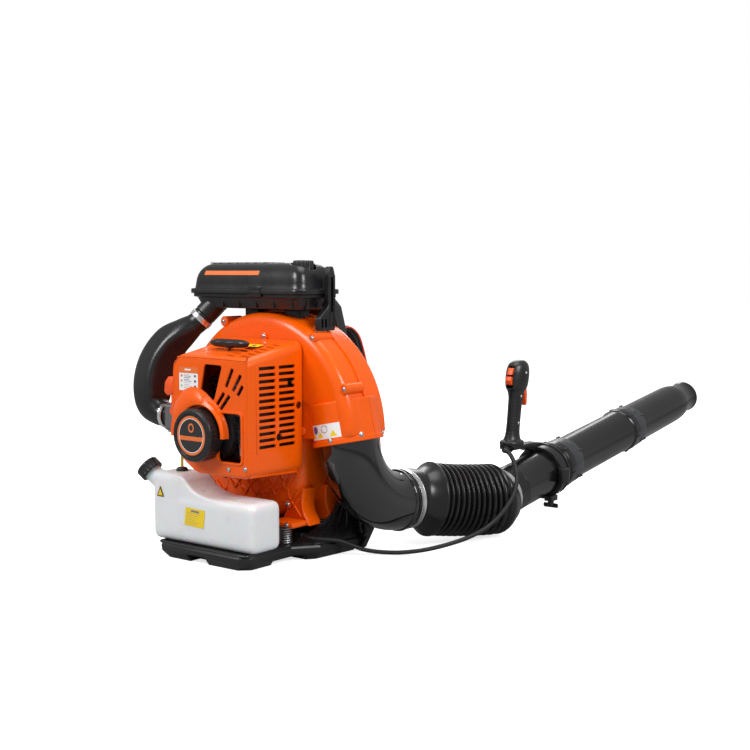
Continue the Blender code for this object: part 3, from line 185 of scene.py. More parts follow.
def finished(name, bm, material, body="root", sharp=38):
    """The object made from bm, shaded smooth between sharp edges and hung on a body."""
    bmesh.ops.recalc_face_normals(bm, faces=bm.faces)
    piece = linked(name, bm)
    mesh = piece.data
    for key in [material] if isinstance(material, str) else material:
        mesh.materials.append(M[key])
    mesh.polygons.foreach_set("use_smooth", [True] * len(mesh.polygons))
    mesh.set_sharp_from_angle(angle=math.radians(sharp))
    if body:
        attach(piece, body)
    return piece


def detail(name, bm, material, body="root", sharp=38, nodes=()):
    """A piece that rides on a body, stands for the CAD nodes named, and wears its material's slot."""
    piece = finished(name, bm, material, body, sharp)
    if nodes:
        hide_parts(*nodes)
    return piece


def stand_in(node, name, bm, material, body="root", sharp=38):
    """A detail that stands for one CAD node."""
    return detail(name, bm, material, body, sharp, (node,))


def bridge(nodes, name, bm, material, sharp):
    """A soft piece that stands for CAD nodes; it hangs on no body and its place is baked into its mesh."""
    piece = finished(name, bm, material, None, sharp)
    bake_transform(piece)
    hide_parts(*nodes)
    return piece


def loft(rings, closed=False):
    """Faces between rings of equal size; the ends are filled unless the rings close on themselves."""
    bm = bmesh.new()
    rows = [[bm.verts.new(p) for p in ring] for ring in rings]
    count = len(rows[0])
    spans = list(zip(rows, rows[1:]))
    if closed:
        spans.append((rows[-1], rows[0]))
    for a, b in spans:
        for i in range(count):
            j = (i + 1) % count
            bm.faces.new((a[i], a[j], b[j], b[i]))
    if not closed:
        bm.faces.new(rows[0][::-1])
        bm.faces.new(rows[-1])
    bmesh.ops.recalc_face_normals(bm, faces=bm.faces)
    return bm


def merged(*parts):
    """Several meshes as one, without joining them."""
    whole = bmesh.new()
    for part in parts:
        mesh = bpy.data.meshes.new("part")
        part.to_mesh(mesh)
        part.free()
        whole.from_mesh(mesh)
        bpy.data.meshes.remove(mesh)
    return whole


def placed(bm, x, y, z, origin):
    """bm with its own axes laid along x, y and z, and its zero at origin."""
    basis = Matrix((x, y, z)).transposed().to_4x4()
    basis.translation = origin
    bmesh.ops.transform(bm, matrix=basis, verts=bm.verts)
    return bm


def thickened(bm, step):
    """A sheet given a second face, moved by step, and walls between the two."""
    back = bmesh.ops.extrude_face_region(bm, geom=bm.faces[:])
    moved = [item for item in back["geom"] if isinstance(item, bmesh.types.BMVert)]
    bmesh.ops.translate(bm, vec=step, verts=moved)


def settled(piece, *helpers):
    """What the modifiers make of a piece; the piece and its helpers are taken away."""
    bpy.context.view_layer.update()
    done = piece.evaluated_get(bpy.context.evaluated_depsgraph_get())
    result = bmesh.new()
    result.from_mesh(done.to_mesh())
    done.to_mesh_clear()
    for item in (piece,) + helpers:
        mesh = item.data
        bpy.data.objects.remove(item, do_unlink=True)
        bpy.data.meshes.remove(mesh)
    return result


def boolean(bm, tool, operation):
    """bm with tool joined on or cut away."""
    piece = linked("solid", bm)
    other = linked("solid", tool)
    modifier = piece.modifiers.new("cut", "BOOLEAN")
    modifier.operation = operation
    modifier.solver = "EXACT"
    modifier.object = other
    return settled(piece, other)


def cut(bm, tool):
    return boolean(bm, tool, "DIFFERENCE")


def fuse(bm, tool):
    return boolean(bm, tool, "UNION")


def side_pair(axis):
    axis = Vector(axis).normalized()
    side = axis.cross(Vector((0, 0, 1)) if abs(axis.z) < 0.9 else Vector((1, 0, 0))).normalized()
    return side, axis.cross(side).normalized()


def around(axis, angle):
    """The direction square to axis at an angle round it."""
    a, b = side_pair(axis)
    return a * math.cos(angle) + b * math.sin(angle)


def blunt(value, power):
    """A power that keeps the sign."""
    return abs(value) ** power * (1 if value > 0 else -1)


def turned(profile, base, axis, sides=64, shape=None):
    """A closed profile of (radius, height) turned about an axis; shape() may alter a radius."""
    base = Vector(base)
    axis = Vector(axis).normalized()
    a, b = side_pair(axis)
    bm = bmesh.new()
    rows = []
    for radius, height in profile:
        if radius < 1e-6:
            rows.append([bm.verts.new(base + axis * height)])
            continue
        row = []
        for k in range(sides):
            angle = TAU * k / sides
            r = shape(angle, radius, height) if shape else radius
            row.append(bm.verts.new(base + axis * height + (a * math.cos(angle) + b * math.sin(angle)) * r))
        rows.append(row)
    loop = list(zip(rows, rows[1:]))
    if len(rows[0]) > 1 or len(rows[-1]) > 1:
        loop.append((rows[-1], rows[0]))
    for low, high in loop:
        for i in range(sides):
            j = (i + 1) % sides
            quad = [low[i % len(low)], low[j % len(low)], high[j % len(high)], high[i % len(high)]]
            corners = list(dict.fromkeys(quad))
            if len(corners) > 2:
                bm.faces.new(corners)
    bmesh.ops.recalc_face_normals(bm, faces=bm.faces)
    return bm


def smooth_line(points, count):
    """count points at even spacing on a smooth curve through the given ones."""
    points = [Vector(p) for p in points]
    line = [points[0] * 2 - points[1]] + points + [points[-1] * 2 - points[-2]]
    fine = []
    for p0, p1, p2, p3 in zip(line, line[1:], line[2:], line[3:]):
        for k in range(24):
            t = k / 24
            fine.append(0.5 * (2 * p1 + (p2 - p0) * t + (2 * p0 - 5 * p1 + 4 * p2 - p3) * t * t
                               + (3 * p1 - p0 - 3 * p2 + p3) * t ** 3))
    fine.append(points[-1])
    marks = [0.0]
    for a, b in zip(fine, fine[1:]):
        marks.append(marks[-1] + (b - a).length)
    spread = []
    index = 0
    for k in range(count):
        goal = marks[-1] * k / (count - 1)
        while index < len(fine) - 2 and marks[index + 1] < goal:
            index += 1
        gap = marks[index + 1] - marks[index]
        share = (goal - marks[index]) / gap if gap else 0
        spread.append(fine[index].lerp(fine[index + 1], min(1.0, share)))
    return spread


def line_length(points):
    return sum((b - a).length for a, b in zip(points, points[1:]))


def path_frames(points, first=None, ends=None):
    """Two side vectors for each point, carried along the path without twisting."""
    line = [ends[0] if ends and ends[0] else points[0] * 2 - points[1]] + points
    line.append(ends[1] if ends and ends[1] else points[-1] * 2 - points[-2])
    frames = []
    side = first
    for i in range(len(points)):
        tangent = (line[i + 2] - line[i]).normalized()
        if side is None:
            side = side_pair(tangent)[0]
        side = (side - tangent * side.dot(tangent)).normalized()
        frames.append((side, tangent.cross(side).normalized(), tangent))
    return frames


def tube_at(y):
    """The point of the tube's axis at a given Y."""
    return TUBE_START + TUBE_AXIS * ((y - TUBE_START.y) / TUBE_AXIS.y)


def swept(points, outer, inner=None, sides=48, first=None, ends=None, shape=None):
    """A tube along a path with a radius at each point, solid or hollow. shape(angle, i) scales the radius."""
    frames = path_frames(points, first, ends)

    def rings(radii):
        made = []
        for i, (p, f, r) in enumerate(zip(points, frames, radii)):
            row = []
            for k in range(sides):
                angle = TAU * k / sides
                radius = r * (shape(angle, i) if shape else 1.0)
                row.append(p + (f[0] * math.cos(angle) + f[1] * math.sin(angle)) * radius)
            made.append(row)
        return made

    if inner is None:
        return loft(rings(outer))
    return loft(rings(outer) + rings(inner)[::-1], closed=True)


def bead(route, radius, count, sides=10):
    """A round cord of even thickness along a smooth route."""
    return swept(smooth_line(route, count), [radius] * count, sides=sides)


def rod(a, b, radius, sides=40, end=0.0008):
    """A cylinder between two points with its end edges rounded off."""
    a = Vector(a)
    b = Vector(b)
    length = (b - a).length
    return turned([(0, 0), (radius - end, 0), (radius, end), (radius, length - end), (radius - end, length),
                   (0, length)],
                  a, b - a, sides)


def block(low, high, bevel=0.0015, segments=3):
    """A box with rounded edges."""
    bm = bmesh.new()
    bmesh.ops.create_cube(bm, size=1.0)
    low = Vector(low)
    high = Vector(high)
    for vert in bm.verts:
        vert.co = Vector([low[i] + (high[i] - low[i]) * (vert.co[i] + 0.5) for i in range(3)])
    if bevel:
        bmesh.ops.bevel(bm, geom=bm.edges[:], offset=bevel, segments=segments, profile=0.5, affect="EDGES",
                        clamp_overlap=True)
    return bm


def plate(outline, axis, level):
    """A 2-D outline laid across an axis at a level."""
    if axis == "X":
        return [Vector((level, a, b)) for a, b in outline]
    if axis == "Y":
        return [Vector((a, level, b)) for a, b in outline]
    return [Vector((a, b, level)) for a, b in outline]


def offset(outline, amount):
    """The outline moved inwards by amount along its own normals."""
    count = len(outline)
    area = sum(outline[i][0] * outline[(i + 1) % count][1] - outline[(i + 1) % count][0] * outline[i][1]
               for i in range(count))
    sign = 1 if area > 0 else -1
    moved = []
    for i in range(count):
        a = Vector(outline[i - 1])
        b = Vector(outline[i])
        c = Vector(outline[(i + 1) % count])
        first = (b - a).normalized()
        second = (c - b).normalized()
        n1 = Vector((-first.y, first.x)) * sign
        n2 = Vector((-second.y, second.x)) * sign
        middle = (n1 + n2).normalized()
        reach = amount / max(0.5, middle.dot(n1))
        moved.append(tuple(b + middle * reach))
    return moved


def layered(outline, axis, levels):
    """A solid whose outline shrinks by (level, inset)."""
    return loft([plate(offset(outline, shrink) if shrink else outline, axis, level) for level,
                 shrink in levels])


def bezel(outer, inner, foot, shoulder, face, ease_out, ease_in):
    """A raised border between two outlines, its front edges eased."""
    levels = ((inner, foot), (outer, foot), (outer, shoulder), (offset(outer, ease_out), face),
              (offset(inner, -ease_in), face), (inner, shoulder))
    return loft([plate(outline, "Y", y) for outline, y in levels], closed=True)


def rounded(low, high, radius, steps=8):
    """A rectangle with round corners."""
    points = []
    corners = ((high[0] - radius, high[1] - radius, 0), (low[0] + radius, high[1] - radius, 90),
               (low[0] + radius, low[1] + radius, 180), (high[0] - radius, low[1] + radius, 270))
    for x, y, start in corners:
        for k in range(steps + 1):
            angle = math.radians(start + 90 * k / steps)
            points.append((x + radius * math.cos(angle), y + radius * math.sin(angle)))
    return points


def soft_corners(outline, radius, steps=4):
    """The outline with each corner replaced by a short arc."""
    points = []
    count = len(outline)
    for i in range(count):
        a = Vector(outline[i - 1])
        b = Vector(outline[i])
        c = Vector(outline[(i + 1) % count])
        reach = min(radius, (b - a).length * 0.45, (c - b).length * 0.45)
        start = b + (a - b).normalized() * reach
        end = b + (c - b).normalized() * reach
        for k in range(steps + 1):
            t = k / steps
            points.append(tuple(start * (1 - t) ** 2 + b * 2 * t * (1 - t) + end * t * t))
    return points


def copied(node, weld=0.00002):
    """A CAD node's mesh with its corners joined and its flat faces whole again."""
    bm = bmesh.new()
    bm.from_mesh(NODES[node].data)
    bmesh.ops.transform(bm, matrix=NODES[node].matrix_world, verts=bm.verts)
    bmesh.ops.remove_doubles(bm, verts=bm.verts, dist=weld)
    bmesh.ops.dissolve_limit(bm, angle_limit=math.radians(1.0), verts=bm.verts, edges=bm.edges)
    return bm


def eased(bm, width, segments=2, angle=32):
    """Sharp edges rounded by width."""
    edges = [e for e in bm.edges if e.is_manifold and e.calc_face_angle(0) > math.radians(angle)]
    bmesh.ops.bevel(bm, geom=edges, offset=width, segments=segments, profile=0.5, affect="EDGES",
                    clamp_overlap=True)
    return bm


def melted(bm, voxel, rounds):
    """A moulded body: the shape remade on an even grid and relaxed so that every edge runs soft."""
    piece = linked("melt", bm)
    grid = piece.modifiers.new("grid", "REMESH")
    grid.mode = "VOXEL"
    grid.voxel_size = voxel
    ease = piece.modifiers.new("ease", "SMOOTH")
    ease.iterations = rounds
    ease.factor = 0.5
    return settled(piece)


# ---------------------------------------------------------------- camera

def make_camera():
    camera = bpy.data.cameras.new("camera")
    camera.lens = 60.0
    camera.sensor_width = 36.0
    camera.clip_start = 0.05
    camera.clip_end = 30.0
    holder = bpy.data.objects.new("camera", camera)
    SCENE.collection.objects.link(holder)
    right = Vector((0.788, 0.6157, 0.0)).normalized()
    ahead = Vector((-0.6135, 0.7852, -0.0837)).normalized()
    up = right.cross(ahead).normalized()
    place = Matrix((right, up, -ahead)).transposed().to_4x4()
    place.translation = (1.458, -1.54, 0.478)
    holder.matrix_world = place
    SCENE.camera = holder


# ---------------------------------------------------------------- throttle cable

CABLE_ROUTE = (
    (0.0975, 0.01, 0.0335), (0.108, 0.0112, 0.0328), (0.12, 0.0165, 0.0316), (0.133, 0.028, 0.0305),
    (0.1445, 0.045, 0.027), (0.1545, 0.064, 0.018), (0.169, 0.083, 0.0085), (0.19, 0.1, 0.0047),
    (0.219, 0.117, 0.005), (0.248, 0.138, 0.009), (0.271, 0.17, 0.015), (0.288, 0.208, 0.0225),
    (0.298, 0.245, 0.032), (0.305, 0.276, 0.046), (0.31, 0.302, 0.0645), (0.3125, 0.322, 0.085),
    (0.3095, 0.337, 0.106), (0.3, 0.349, 0.125), (0.285, 0.363, 0.1395), (0.265, 0.382, 0.147),
    (0.244, 0.404, 0.1465), (0.232, 0.422, 0.1448), (0.23, 0.4342, 0.1445),
)
CABLE_RADIUS = 0.004
RIDGE_PITCH = 0.0032


def cable_piece(name, line, low, high):
    """One length of the cable, told as a cord of its own."""
    points = line[low:high + 1]
    radii = [CABLE_RADIUS * (0.8 + 0.22 * (0.5 + 0.5 * math.cos(TAU * k / 4))) for k in range(low, high + 1)]
    node = name.replace("conduit", "throttle_cable")
    piece = bridge([node], name, swept(points, radii, sides=14), "rubber", 70)
    path = points[::6]
    if (path[-1] - points[-1]).length > 1e-6:
        path = path + [points[-1]]


def make_cable():
    rough = smooth_line(CABLE_ROUTE, 400)
    count = 4 * int(line_length(rough) / RIDGE_PITCH) + 1
    line = smooth_line(CABLE_ROUTE, count)
    first = min(i for i, p in enumerate(line) if p.y > 0.228)
    second = min(i for i, p in enumerate(line) if p.y > 0.296)
    cable_piece("conduit_rear", line, 0, first)
    cable_piece("conduit_middle", line, first, second)
    cable_piece("conduit_front", line, second, count - 1)


# ---------------------------------------------------------------- air path

def elbow_line(count):
    points = [Vector((0.1592, 0.05, 0.2))]
    for k in range(count + 1):
        share = k / count
        turn = share * math.pi / 2
        points.append(Vector((0.1612 + 0.0225 * share, 0.05 + 0.105 * (1 - math.cos(turn)),
                              0.19 - 0.105 * math.sin(turn))))
    corner = points[-1]
    points += [corner + SPIGOT_AXIS * d for d in (0.001, 0.002, 0.01, 0.0175, 0.018)]
    return points


def make_elbow():
    points = elbow_line(40)
    last = len(points) - 1
    outer = [0.0505] + [0.051] * (last - 5) + [0.0507, 0.0466, 0.0465, 0.0465, 0.046]
    inner = [0.0437] * (last + 1)

    def seam(angle, i):
        gap = min(abs(angle - a) for a in (0.0, math.pi, TAU))
        return 1.0 + 0.012 * max(0.0, 1 - gap / 0.055) * (3 < i < last - 5)

    skin = swept(points, outer, inner, 96, Vector((1, 0, 0)), None, seam)
    stand_in("elbow", "elbow_skin", skin, "gloss", sharp=50)
    profile = ((0.0508, -0.004), (0.0526, -0.0034), (0.0534, 0.0), (0.0526, 0.0034), (0.0508, 0.004))
    collar = turned(profile, points[-6] - SPIGOT_AXIS * 0.004, points[-6] - points[-9], 96)
    detail("elbow_bead", collar, "gloss", sharp=60)


def bellows_line(count):
    end = HOSE_START + SPIGOT_AXIS * 0.018
    route = [end - SPIGOT_AXIS * 0.015, end, end + SPIGOT_AXIS * 0.014, (0.2015, 0.221, 0.079),
             (0.22, 0.27, 0.072), (0.2385, 0.315, 0.068)]
    return smooth_line(route + [tube_at(y) for y in (0.346, 0.359, 0.372, 0.385)], count)


BELLOWS_RIBS = 12


def bellows_radius(share):
    """Outer radius: rear cuff, bell-mouthed flange, the ribs, front cuff."""
    rear, front, valley, crest, flange = 0.0504, 0.0457, 0.0556, 0.064, 0.0652
    if share < 0.145:
        return rear
    if share < 0.262:
        t = (share - 0.145) / 0.117
        return rear + (flange - rear) * t ** 1.7
    if share < 0.276:
        return flange
    if share < 0.29:
        return flange + (valley - flange) * (share - 0.276) / 0.014
    if share < 0.862:
        t = (share - 0.29) / 0.572 * BELLOWS_RIBS
        return valley + (crest - valley) * abs(math.sin(math.pi * t)) ** 1.25
    if share < 0.895:
        t = (share - 0.862) / 0.033
        return valley + (front - valley) * t * t * (3 - 2 * t)
    return front


def make_bellows():
    """Two halves, each a piece of its own that hangs on no body."""
    count = 331
    wall = 0.0016
    line = bellows_line(count)
    half = count // 2
    frames = path_frames(line)
    halves = (
        ("rear", 0, half, (0.12, 0.46), ("root", "bellows_mid"), ("bellows_rear", "bellows_middle")),
        ("front", half, count - 1, (0.54, 0.88), ("bellows_mid", "tube_base"), ("bellows_front",)),
    )
    for key, low, high, marks, bodies, nodes in halves:
        outer = [bellows_radius(k / (count - 1)) for k in range(low, high + 1)]
        if key == "front":
            inner = [min(r - wall, 0.06) for r in outer]
        else:
            inner = [min(r - wall, 0.0485 if k < 0.1 * count else r - wall) for k, r in enumerate(outer)]
        nearby = (line[low - 1] if low else None, line[high + 1] if high < count - 1 else None)
        skin = swept(line[low:high + 1], outer, inner, 88, frames[low][0], nearby)
        bridge(nodes, "hose_" + key, skin, "hose", 62)


def hose_clamp(name, centre, axis, radius, width, turn, body="root", nodes=()):
    """A worm-drive band: rolled edges, the worm housing and its screw."""
    axis = Vector(axis).normalized()
    h = width / 2
    roll = [(0, 0), (0.0004, 0.0003), (0.0013, -0.0002), (0.0009, -0.0014)]
    profile = [(radius + r, -h - z) for r, z in roll] + [(radius + r, h + z) for r, z in roll[::-1]]
    out = around(axis, turn)
    along = axis.cross(out)
    middle = Vector(centre) + out * (radius + 0.004)
    housing = block((-0.0075, -h - 0.0008, -0.003), (0.0075, h + 0.0008, 0.003), 0.0014)
    head = turned([(0, -0.011), (0.003, -0.011), (0.0034, -0.0104), (0.0034, -0.008), (0, -0.008)], middle,
                  along, 24)
    bm = merged(turned(profile, centre, axis, 96), placed(housing, along, axis, out, middle), head)
    detail(name, bm, "steel", body, 40, nodes)


def make_clamps():
    hose_clamp("band_rear", HOSE_START + SPIGOT_AXIS * 0.013, SPIGOT_AXIS, 0.0506, 0.0095, 2.6, "root",
               ["clamp_rear"])
    hose_clamp("band_front", tube_at(0.373), TUBE_AXIS, 0.0459, 0.01, 2.2, "tube_base", ["clamp_front"])
    hose_clamp("duct_band_upper", DUCT_START + DUCT_AXIS * 0.009, DUCT_AXIS, 0.02, 0.009, 0.6)
    hose_clamp("duct_band_lower", (-0.1475, -0.066, 0.2275), (1, 0, 0), 0.0212, 0.008, 2.0)


def tube_skin(name, node, start, outside, bore, socket=True):
    """A straight tube: (distance, radius) outside, (radius, distance) in its bore."""
    base = TUBE_START + TUBE_AXIS * start
    profile = soft_corners([(r, d) for d, r in outside] + bore, 0.0012, 3)
    parts = [turned(profile, base, TUBE_AXIS, 96)]
    for k in range(4 if socket else 0):
        out = around(TUBE_AXIS, TAU * (k + 0.35) / 4)
        lug = bmesh.new()
        bmesh.ops.create_uvsphere(lug, u_segments=20, v_segments=12, radius=1.0)
        spot = base + TUBE_AXIS * 0.016 + out * (outside[0][1] - 0.0006)
        parts.append(placed(lug, TUBE_AXIS.cross(out) * 0.0065, TUBE_AXIS * 0.0042, out * 0.0026, spot))
    piece = stand_in(node, name, merged(*parts), ["tube", "socket"], "tube", 34)
    for face in piece.data.polygons:
        middle = Vector(face.center) - base
        height = middle.dot(TUBE_AXIS)
        if socket and 0.0005 < height < 0.0305 and (middle - TUBE_AXIS * height).length > 0.043:
            face.material_index = 1


def make_tubes():
    swivel, pipe, nozzle, gap = 0.2297, 0.277, 0.312, 0.0003
    bore = 0.04
    outside = [(0.0, 0.0425), (0.06, 0.0425), (0.0605, 0.0429), (0.064, 0.0429), (0.0645, 0.0425),
               (swivel - 0.0215, 0.0425), (swivel - 0.019, 0.0462), (swivel - 0.0165, 0.047),
               (swivel - 0.001, 0.047), (swivel, 0.0462)]
    tube_skin("swivel_skin", "swivel_pipe", 0.0, outside, [(bore, swivel), (bore, 0.0)], False)
    outside = [(0.0, 0.046), (0.03, 0.0452), (0.0312, 0.044), (0.0345, 0.0425), (pipe - 0.0215, 0.0425),
               (pipe - 0.019, 0.0448), (pipe - 0.0165, 0.0455), (pipe - 0.001, 0.0455), (pipe, 0.0449)]
    tube_skin("pipe_skin", "blower_pipe", swivel + gap, outside, [(bore, pipe), (bore, 0.0)])
    outside = [(0.0, 0.0449), (0.03, 0.0438), (0.0312, 0.0426), (0.0345, 0.0412), (0.12, 0.0409),
               (0.215, 0.0405), (0.23, 0.0402), (0.245, 0.039), (0.26, 0.0362), (0.272, 0.0336),
               (0.284, 0.032), (0.294, 0.0315), (0.302, 0.032), (0.308, 0.0332), (0.311, 0.0341),
               (nozzle, 0.0338)]
    inside = [(0.0318, nozzle), (0.029, nozzle - 0.012), (0.029, nozzle - 0.035), (0.0385, 0.235),
              (0.0385, 0.0)]
    tube_skin("nozzle_skin", "nozzle", swivel + pipe + 2 * gap, outside, inside)


def duct_line(count):
    route = [DUCT_START, DUCT_START + DUCT_AXIS * 0.016, (-0.156, -0.019, 0.369), (-0.178, -0.033, 0.348),
             (-0.193, -0.047, 0.315), (-0.1955, -0.058, 0.278), (-0.186, -0.0645, 0.245),
             (-0.166, -0.066, 0.23), (-0.149, -0.066, 0.2275), (-0.136, -0.066, 0.2275)]
    return smooth_line(route, count)


def make_tube_lugs():
    """Small bayonet lugs and ridges round the sockets of the straight tube."""
    parts = []
    for distance, radius, turn, count in ((0.218, 0.047, 10, 6), (0.262, 0.0452, 40, 5),
                                          (0.496, 0.0452, 10, 6), (0.538, 0.044, 35, 5)):
        for k in range(count):
            out = around(TUBE_AXIS, math.radians(turn + 360 * k / count))
            lug = block((-0.006, -0.0018, -0.002), (0.006, 0.0018, 0.0022), 0.0012, 2)
            spot = TUBE_START + TUBE_AXIS * distance + out * radius
            parts.append(placed(lug, TUBE_AXIS, TUBE_AXIS.cross(out), out, spot))
    detail("tube_lugs", merged(*parts), "black", "tube", 40)


def make_duct():
    points = duct_line(90)
    last = len(points) - 1
    outer = []
    for k in range(last + 1):
        share = k / last
        swell = math.sin(math.pi * min(1.0, max(0.0, (share - 0.1) / 0.82))) ** 0.8
        outer.append(0.0195 + 0.0092 * swell)

    def squared(angle, i):
        """Round at both ends and nearly square, with soft corners, between them."""
        share = i / last
        strength = min(1.0, max(0.0, (share - 0.1) * 5)) * min(1.0, max(0.0, (0.92 - share) * 6))
        corner = (abs(math.cos(angle)) ** 4.5 + abs(math.sin(angle)) ** 4.5) ** (-1 / 4.5)
        return 1.0 + strength * (corner - 1.0)

    skin = swept(points, outer, [r - 0.0022 for r in outer], 72, Vector((-1, 0, 0)), None, squared)
    stand_in("intake_duct", "duct_skin", skin, "satin", sharp=50)


# ---------------------------------------------------------------- screws and labels

def screw(place, axis, radius=0.0032):
    """A pan-head screw with a raised cross."""
    axis = Vector(axis).normalized()
    r = radius
    head = turned([(0, -0.0004), (r * 1.25, -0.0004), (r * 1.25, 0.0003), (r, 0.0004), (r * 0.96, 0.001),
                   (r * 0.72, 0.0017), (r * 0.36, 0.002), (0, 0.002)], place, axis, 28)
    a, b = side_pair(axis)
    bars = [placed(block((-r * 0.55, -r * 0.11, 0.0012), (r * 0.55, r * 0.11, 0.00215), 0.0), first, second,
                   axis, Vector(place)) for first, second in ((a, b), (b, a))]
    return merged(head, *bars)


def screws(name, body, spots):
    detail(name, merged(*[screw(*spot) for spot in spots]), "screw", body, 40)


def label(name, body, place, across, down, paint, inks):
    """A thin label: place(u, v) gives its surface, and paint(u, v) picks the ink of each small cell."""
    bm = bmesh.new()
    rows = []
    for j in range(down + 1):
        rows.append([bm.verts.new(place(i / across, j / down)) for i in range(across + 1)])
    for j in range(down):
        for i in range(across):
            face = bm.faces.new((rows[j][i], rows[j][i + 1], rows[j + 1][i + 1], rows[j + 1][i]))
            face.material_index = inks.index(paint((i + 0.5) / across, (j + 0.5) / down))
    bmesh.ops.recalc_face_normals(bm, faces=bm.faces)
    middle = place(0.5, 0.5)
    step = (place(0.51, 0.5) - middle).cross(place(0.5, 0.51) - middle).normalized()
    thickened(bm, step * 0.0003)
    return detail(name, bm, inks, body, 30)


def flat(corner, right, down):
    corner, right, down = Vector(corner), Vector(right), Vector(down)
    return lambda u, v: corner + right * u + down * v


def bars(u, v, rows, left=0.1, right=0.9, fill=0.35, salt=0):
    """True on short printed bars that stand in for lines of small print."""
    row = int(v * rows)
    inside = (v * rows - row) < fill
    length = 0.55 + 0.4 * ((row * 37 + salt * 13) % 10) / 10
    return inside and left < u < left + (right - left) * length


# ---------------------------------------------------------------- fan housing

def scroll(shrink=0.0):
    """The snail outline in X and Z, fine enough to read as a curve."""
    outline = [(0.1015, 0.198), (0.1027, 0.172), (0.1022, 0.15), (0.1005, 0.133), (0.0975, 0.118)]
    for step in range(0, 103):
        sweep = 14 + 3 * step
        radius = 0.137 + 0.068 * (min(sweep, 320) / 320) ** 0.55
        angle = math.radians(-40 - sweep)
        outline.append((radius * math.cos(angle), HUB_Z + radius * math.sin(angle)))
    outline.append((0.196, 0.204))
    inset = []
    for x, z in outline[::-1]:
        reach = math.hypot(x, z - HUB_Z)
        keep = (reach - shrink) / reach
        inset.append((x * keep, HUB_Z + (z - HUB_Z) * keep))
    return inset


COLLAR_TOP = Vector((0.1465, 0.05, 0.262))
COLLAR_END = Vector((0.1607, 0.05, 0.1935))
COLLAR_AXIS = (COLLAR_END - COLLAR_TOP).normalized()


def collar_solid():
    length = (COLLAR_END - COLLAR_TOP).length
    return turned([(0, 0), (0.056, 0.0), (0.0575, 0.0015), (0.0575, length - 0.009), (0.059, length - 0.008),
                   (0.059, length - 0.001), (0.058, length), (0, length)], COLLAR_TOP, COLLAR_AXIS, 96)


def scroll_solid(levels):
    """The snail body; each level has its own inset towards the axis."""
    return loft([plate(scroll(shrink), "Y", level) for level, shrink in levels])


def cavity():
    return scroll_solid(((0.0035, 0.022), (0.012, 0.006), (0.02, 0.004), (0.088, 0.004), (0.0965, 0.015)))


def collar_bore():
    return rod(COLLAR_TOP + COLLAR_AXIS * 0.006, COLLAR_END + COLLAR_AXIS * 0.01, 0.0535, 64)


def feet(low, high, plate_low, plate_high):
    """Flared feet with hollow sides, each on a flat plate."""
    flare = ((0.0553, 0.0), (0.062, 0.001), (0.069, 0.0062), (0.076, 0.0102), (0.086, 0.0128),
             (0.097, 0.0132), (0.108, 0.012), (0.116, 0.01))
    solids = []
    for side in (1, -1):
        x = sorted((0.057 * side, 0.115 * side))
        outline = [(x[1] - inset, z) for z, inset in flare] + [(x[0] + inset, z) for z, inset in flare[::-1]]
        solids.append(layered(outline, "Y", ((low, 0.0012), (low + 0.0012, 0.0), (high, 0.0))))
        x = sorted((0.06 * side, 0.112 * side))
        solids.append(block((x[0] + 0.001, plate_low, 0.0554), (x[1] - 0.001, plate_high, 0.065), 0.003))
    return solids


def ear(x, z, low=0.004, high=0.046):
    """A horn-like screw lug on the rim: a round boss whose web widens into the housing."""
    out = Vector((x, z - HUB_Z)).normalized()
    side = Vector((-out.y, out.x))
    spot = Vector((x, z))
    web = [spot + side * 0.0074, spot - side * 0.0074]
    web += [spot - out * back - side * half for back, half in ((0.018, 0.015), (0.034, 0.024))]
    web += [spot - out * back + side * half for back, half in ((0.034, 0.024), (0.018, 0.015))]
    base = layered([tuple(p) for p in web], "Y", ((low + 0.006, 0.001), (low + 0.007, 0), (high, 0)))
    lug = turned([(0, low), (0.0074, low), (0.009, low + 0.0016), (0.009, high - 0.001), (0.008, high),
                  (0, high)],
                 (x, 0, z), (0, 1, 0), 40)
    return fuse(lug, base)


def housing_half(name, node, levels, foot, extras, tools):
    """One half of the fan housing: the snail, the outlet collar, the feet and any extras, then hollowed."""
    bm = scroll_solid(levels)
    for solid in [collar_solid()] + feet(*foot) + extras:
        bm = fuse(bm, solid)
    for tool in [cavity(), collar_bore()] + tools:
        bm = cut(bm, tool)
    stand_in(node, name, bm, "orange", sharp=34)


def make_housing_front():
    levels = ((0.0, 0.02), (0.0006, 0.015), (0.0022, 0.0098), (0.005, 0.0054), (0.009, 0.0022),
              (0.014, 0.0005), (0.018, 0.0), (0.0498, 0.0))
    tools = [rod((0, -0.01, HUB_Z), (0, 0.012, HUB_Z), 0.022, 40),
             block((-0.3, 0.0498, -0.1), (0.3, 0.3, 0.6), 0)]
    housing_half("housing_front_skin", "fan_housing_front", levels, (0.001, 0.03, -0.034, 0.02),
                 [ear(x, z) for x, z in EARS], tools)


def make_housing_rear():
    levels = ((0.0502, 0.0), (0.086, 0.0), (0.0905, 0.0006), (0.095, 0.003), (0.098, 0.0068), (0.1, 0.012))
    tools = [rod((0, 0.08, HUB_Z), (0, 0.12, HUB_Z), 0.078, 96),
             block((-0.3, -0.3, -0.1), (0.3, 0.0502, 0.6), 0),
             block((-0.3, 0.1005, -0.1), (0.3, 0.3, 0.6), 0)]
    housing_half("housing_rear_skin", "fan_housing_rear", levels, (0.06, 0.092, 0.056, 0.096), [], tools)


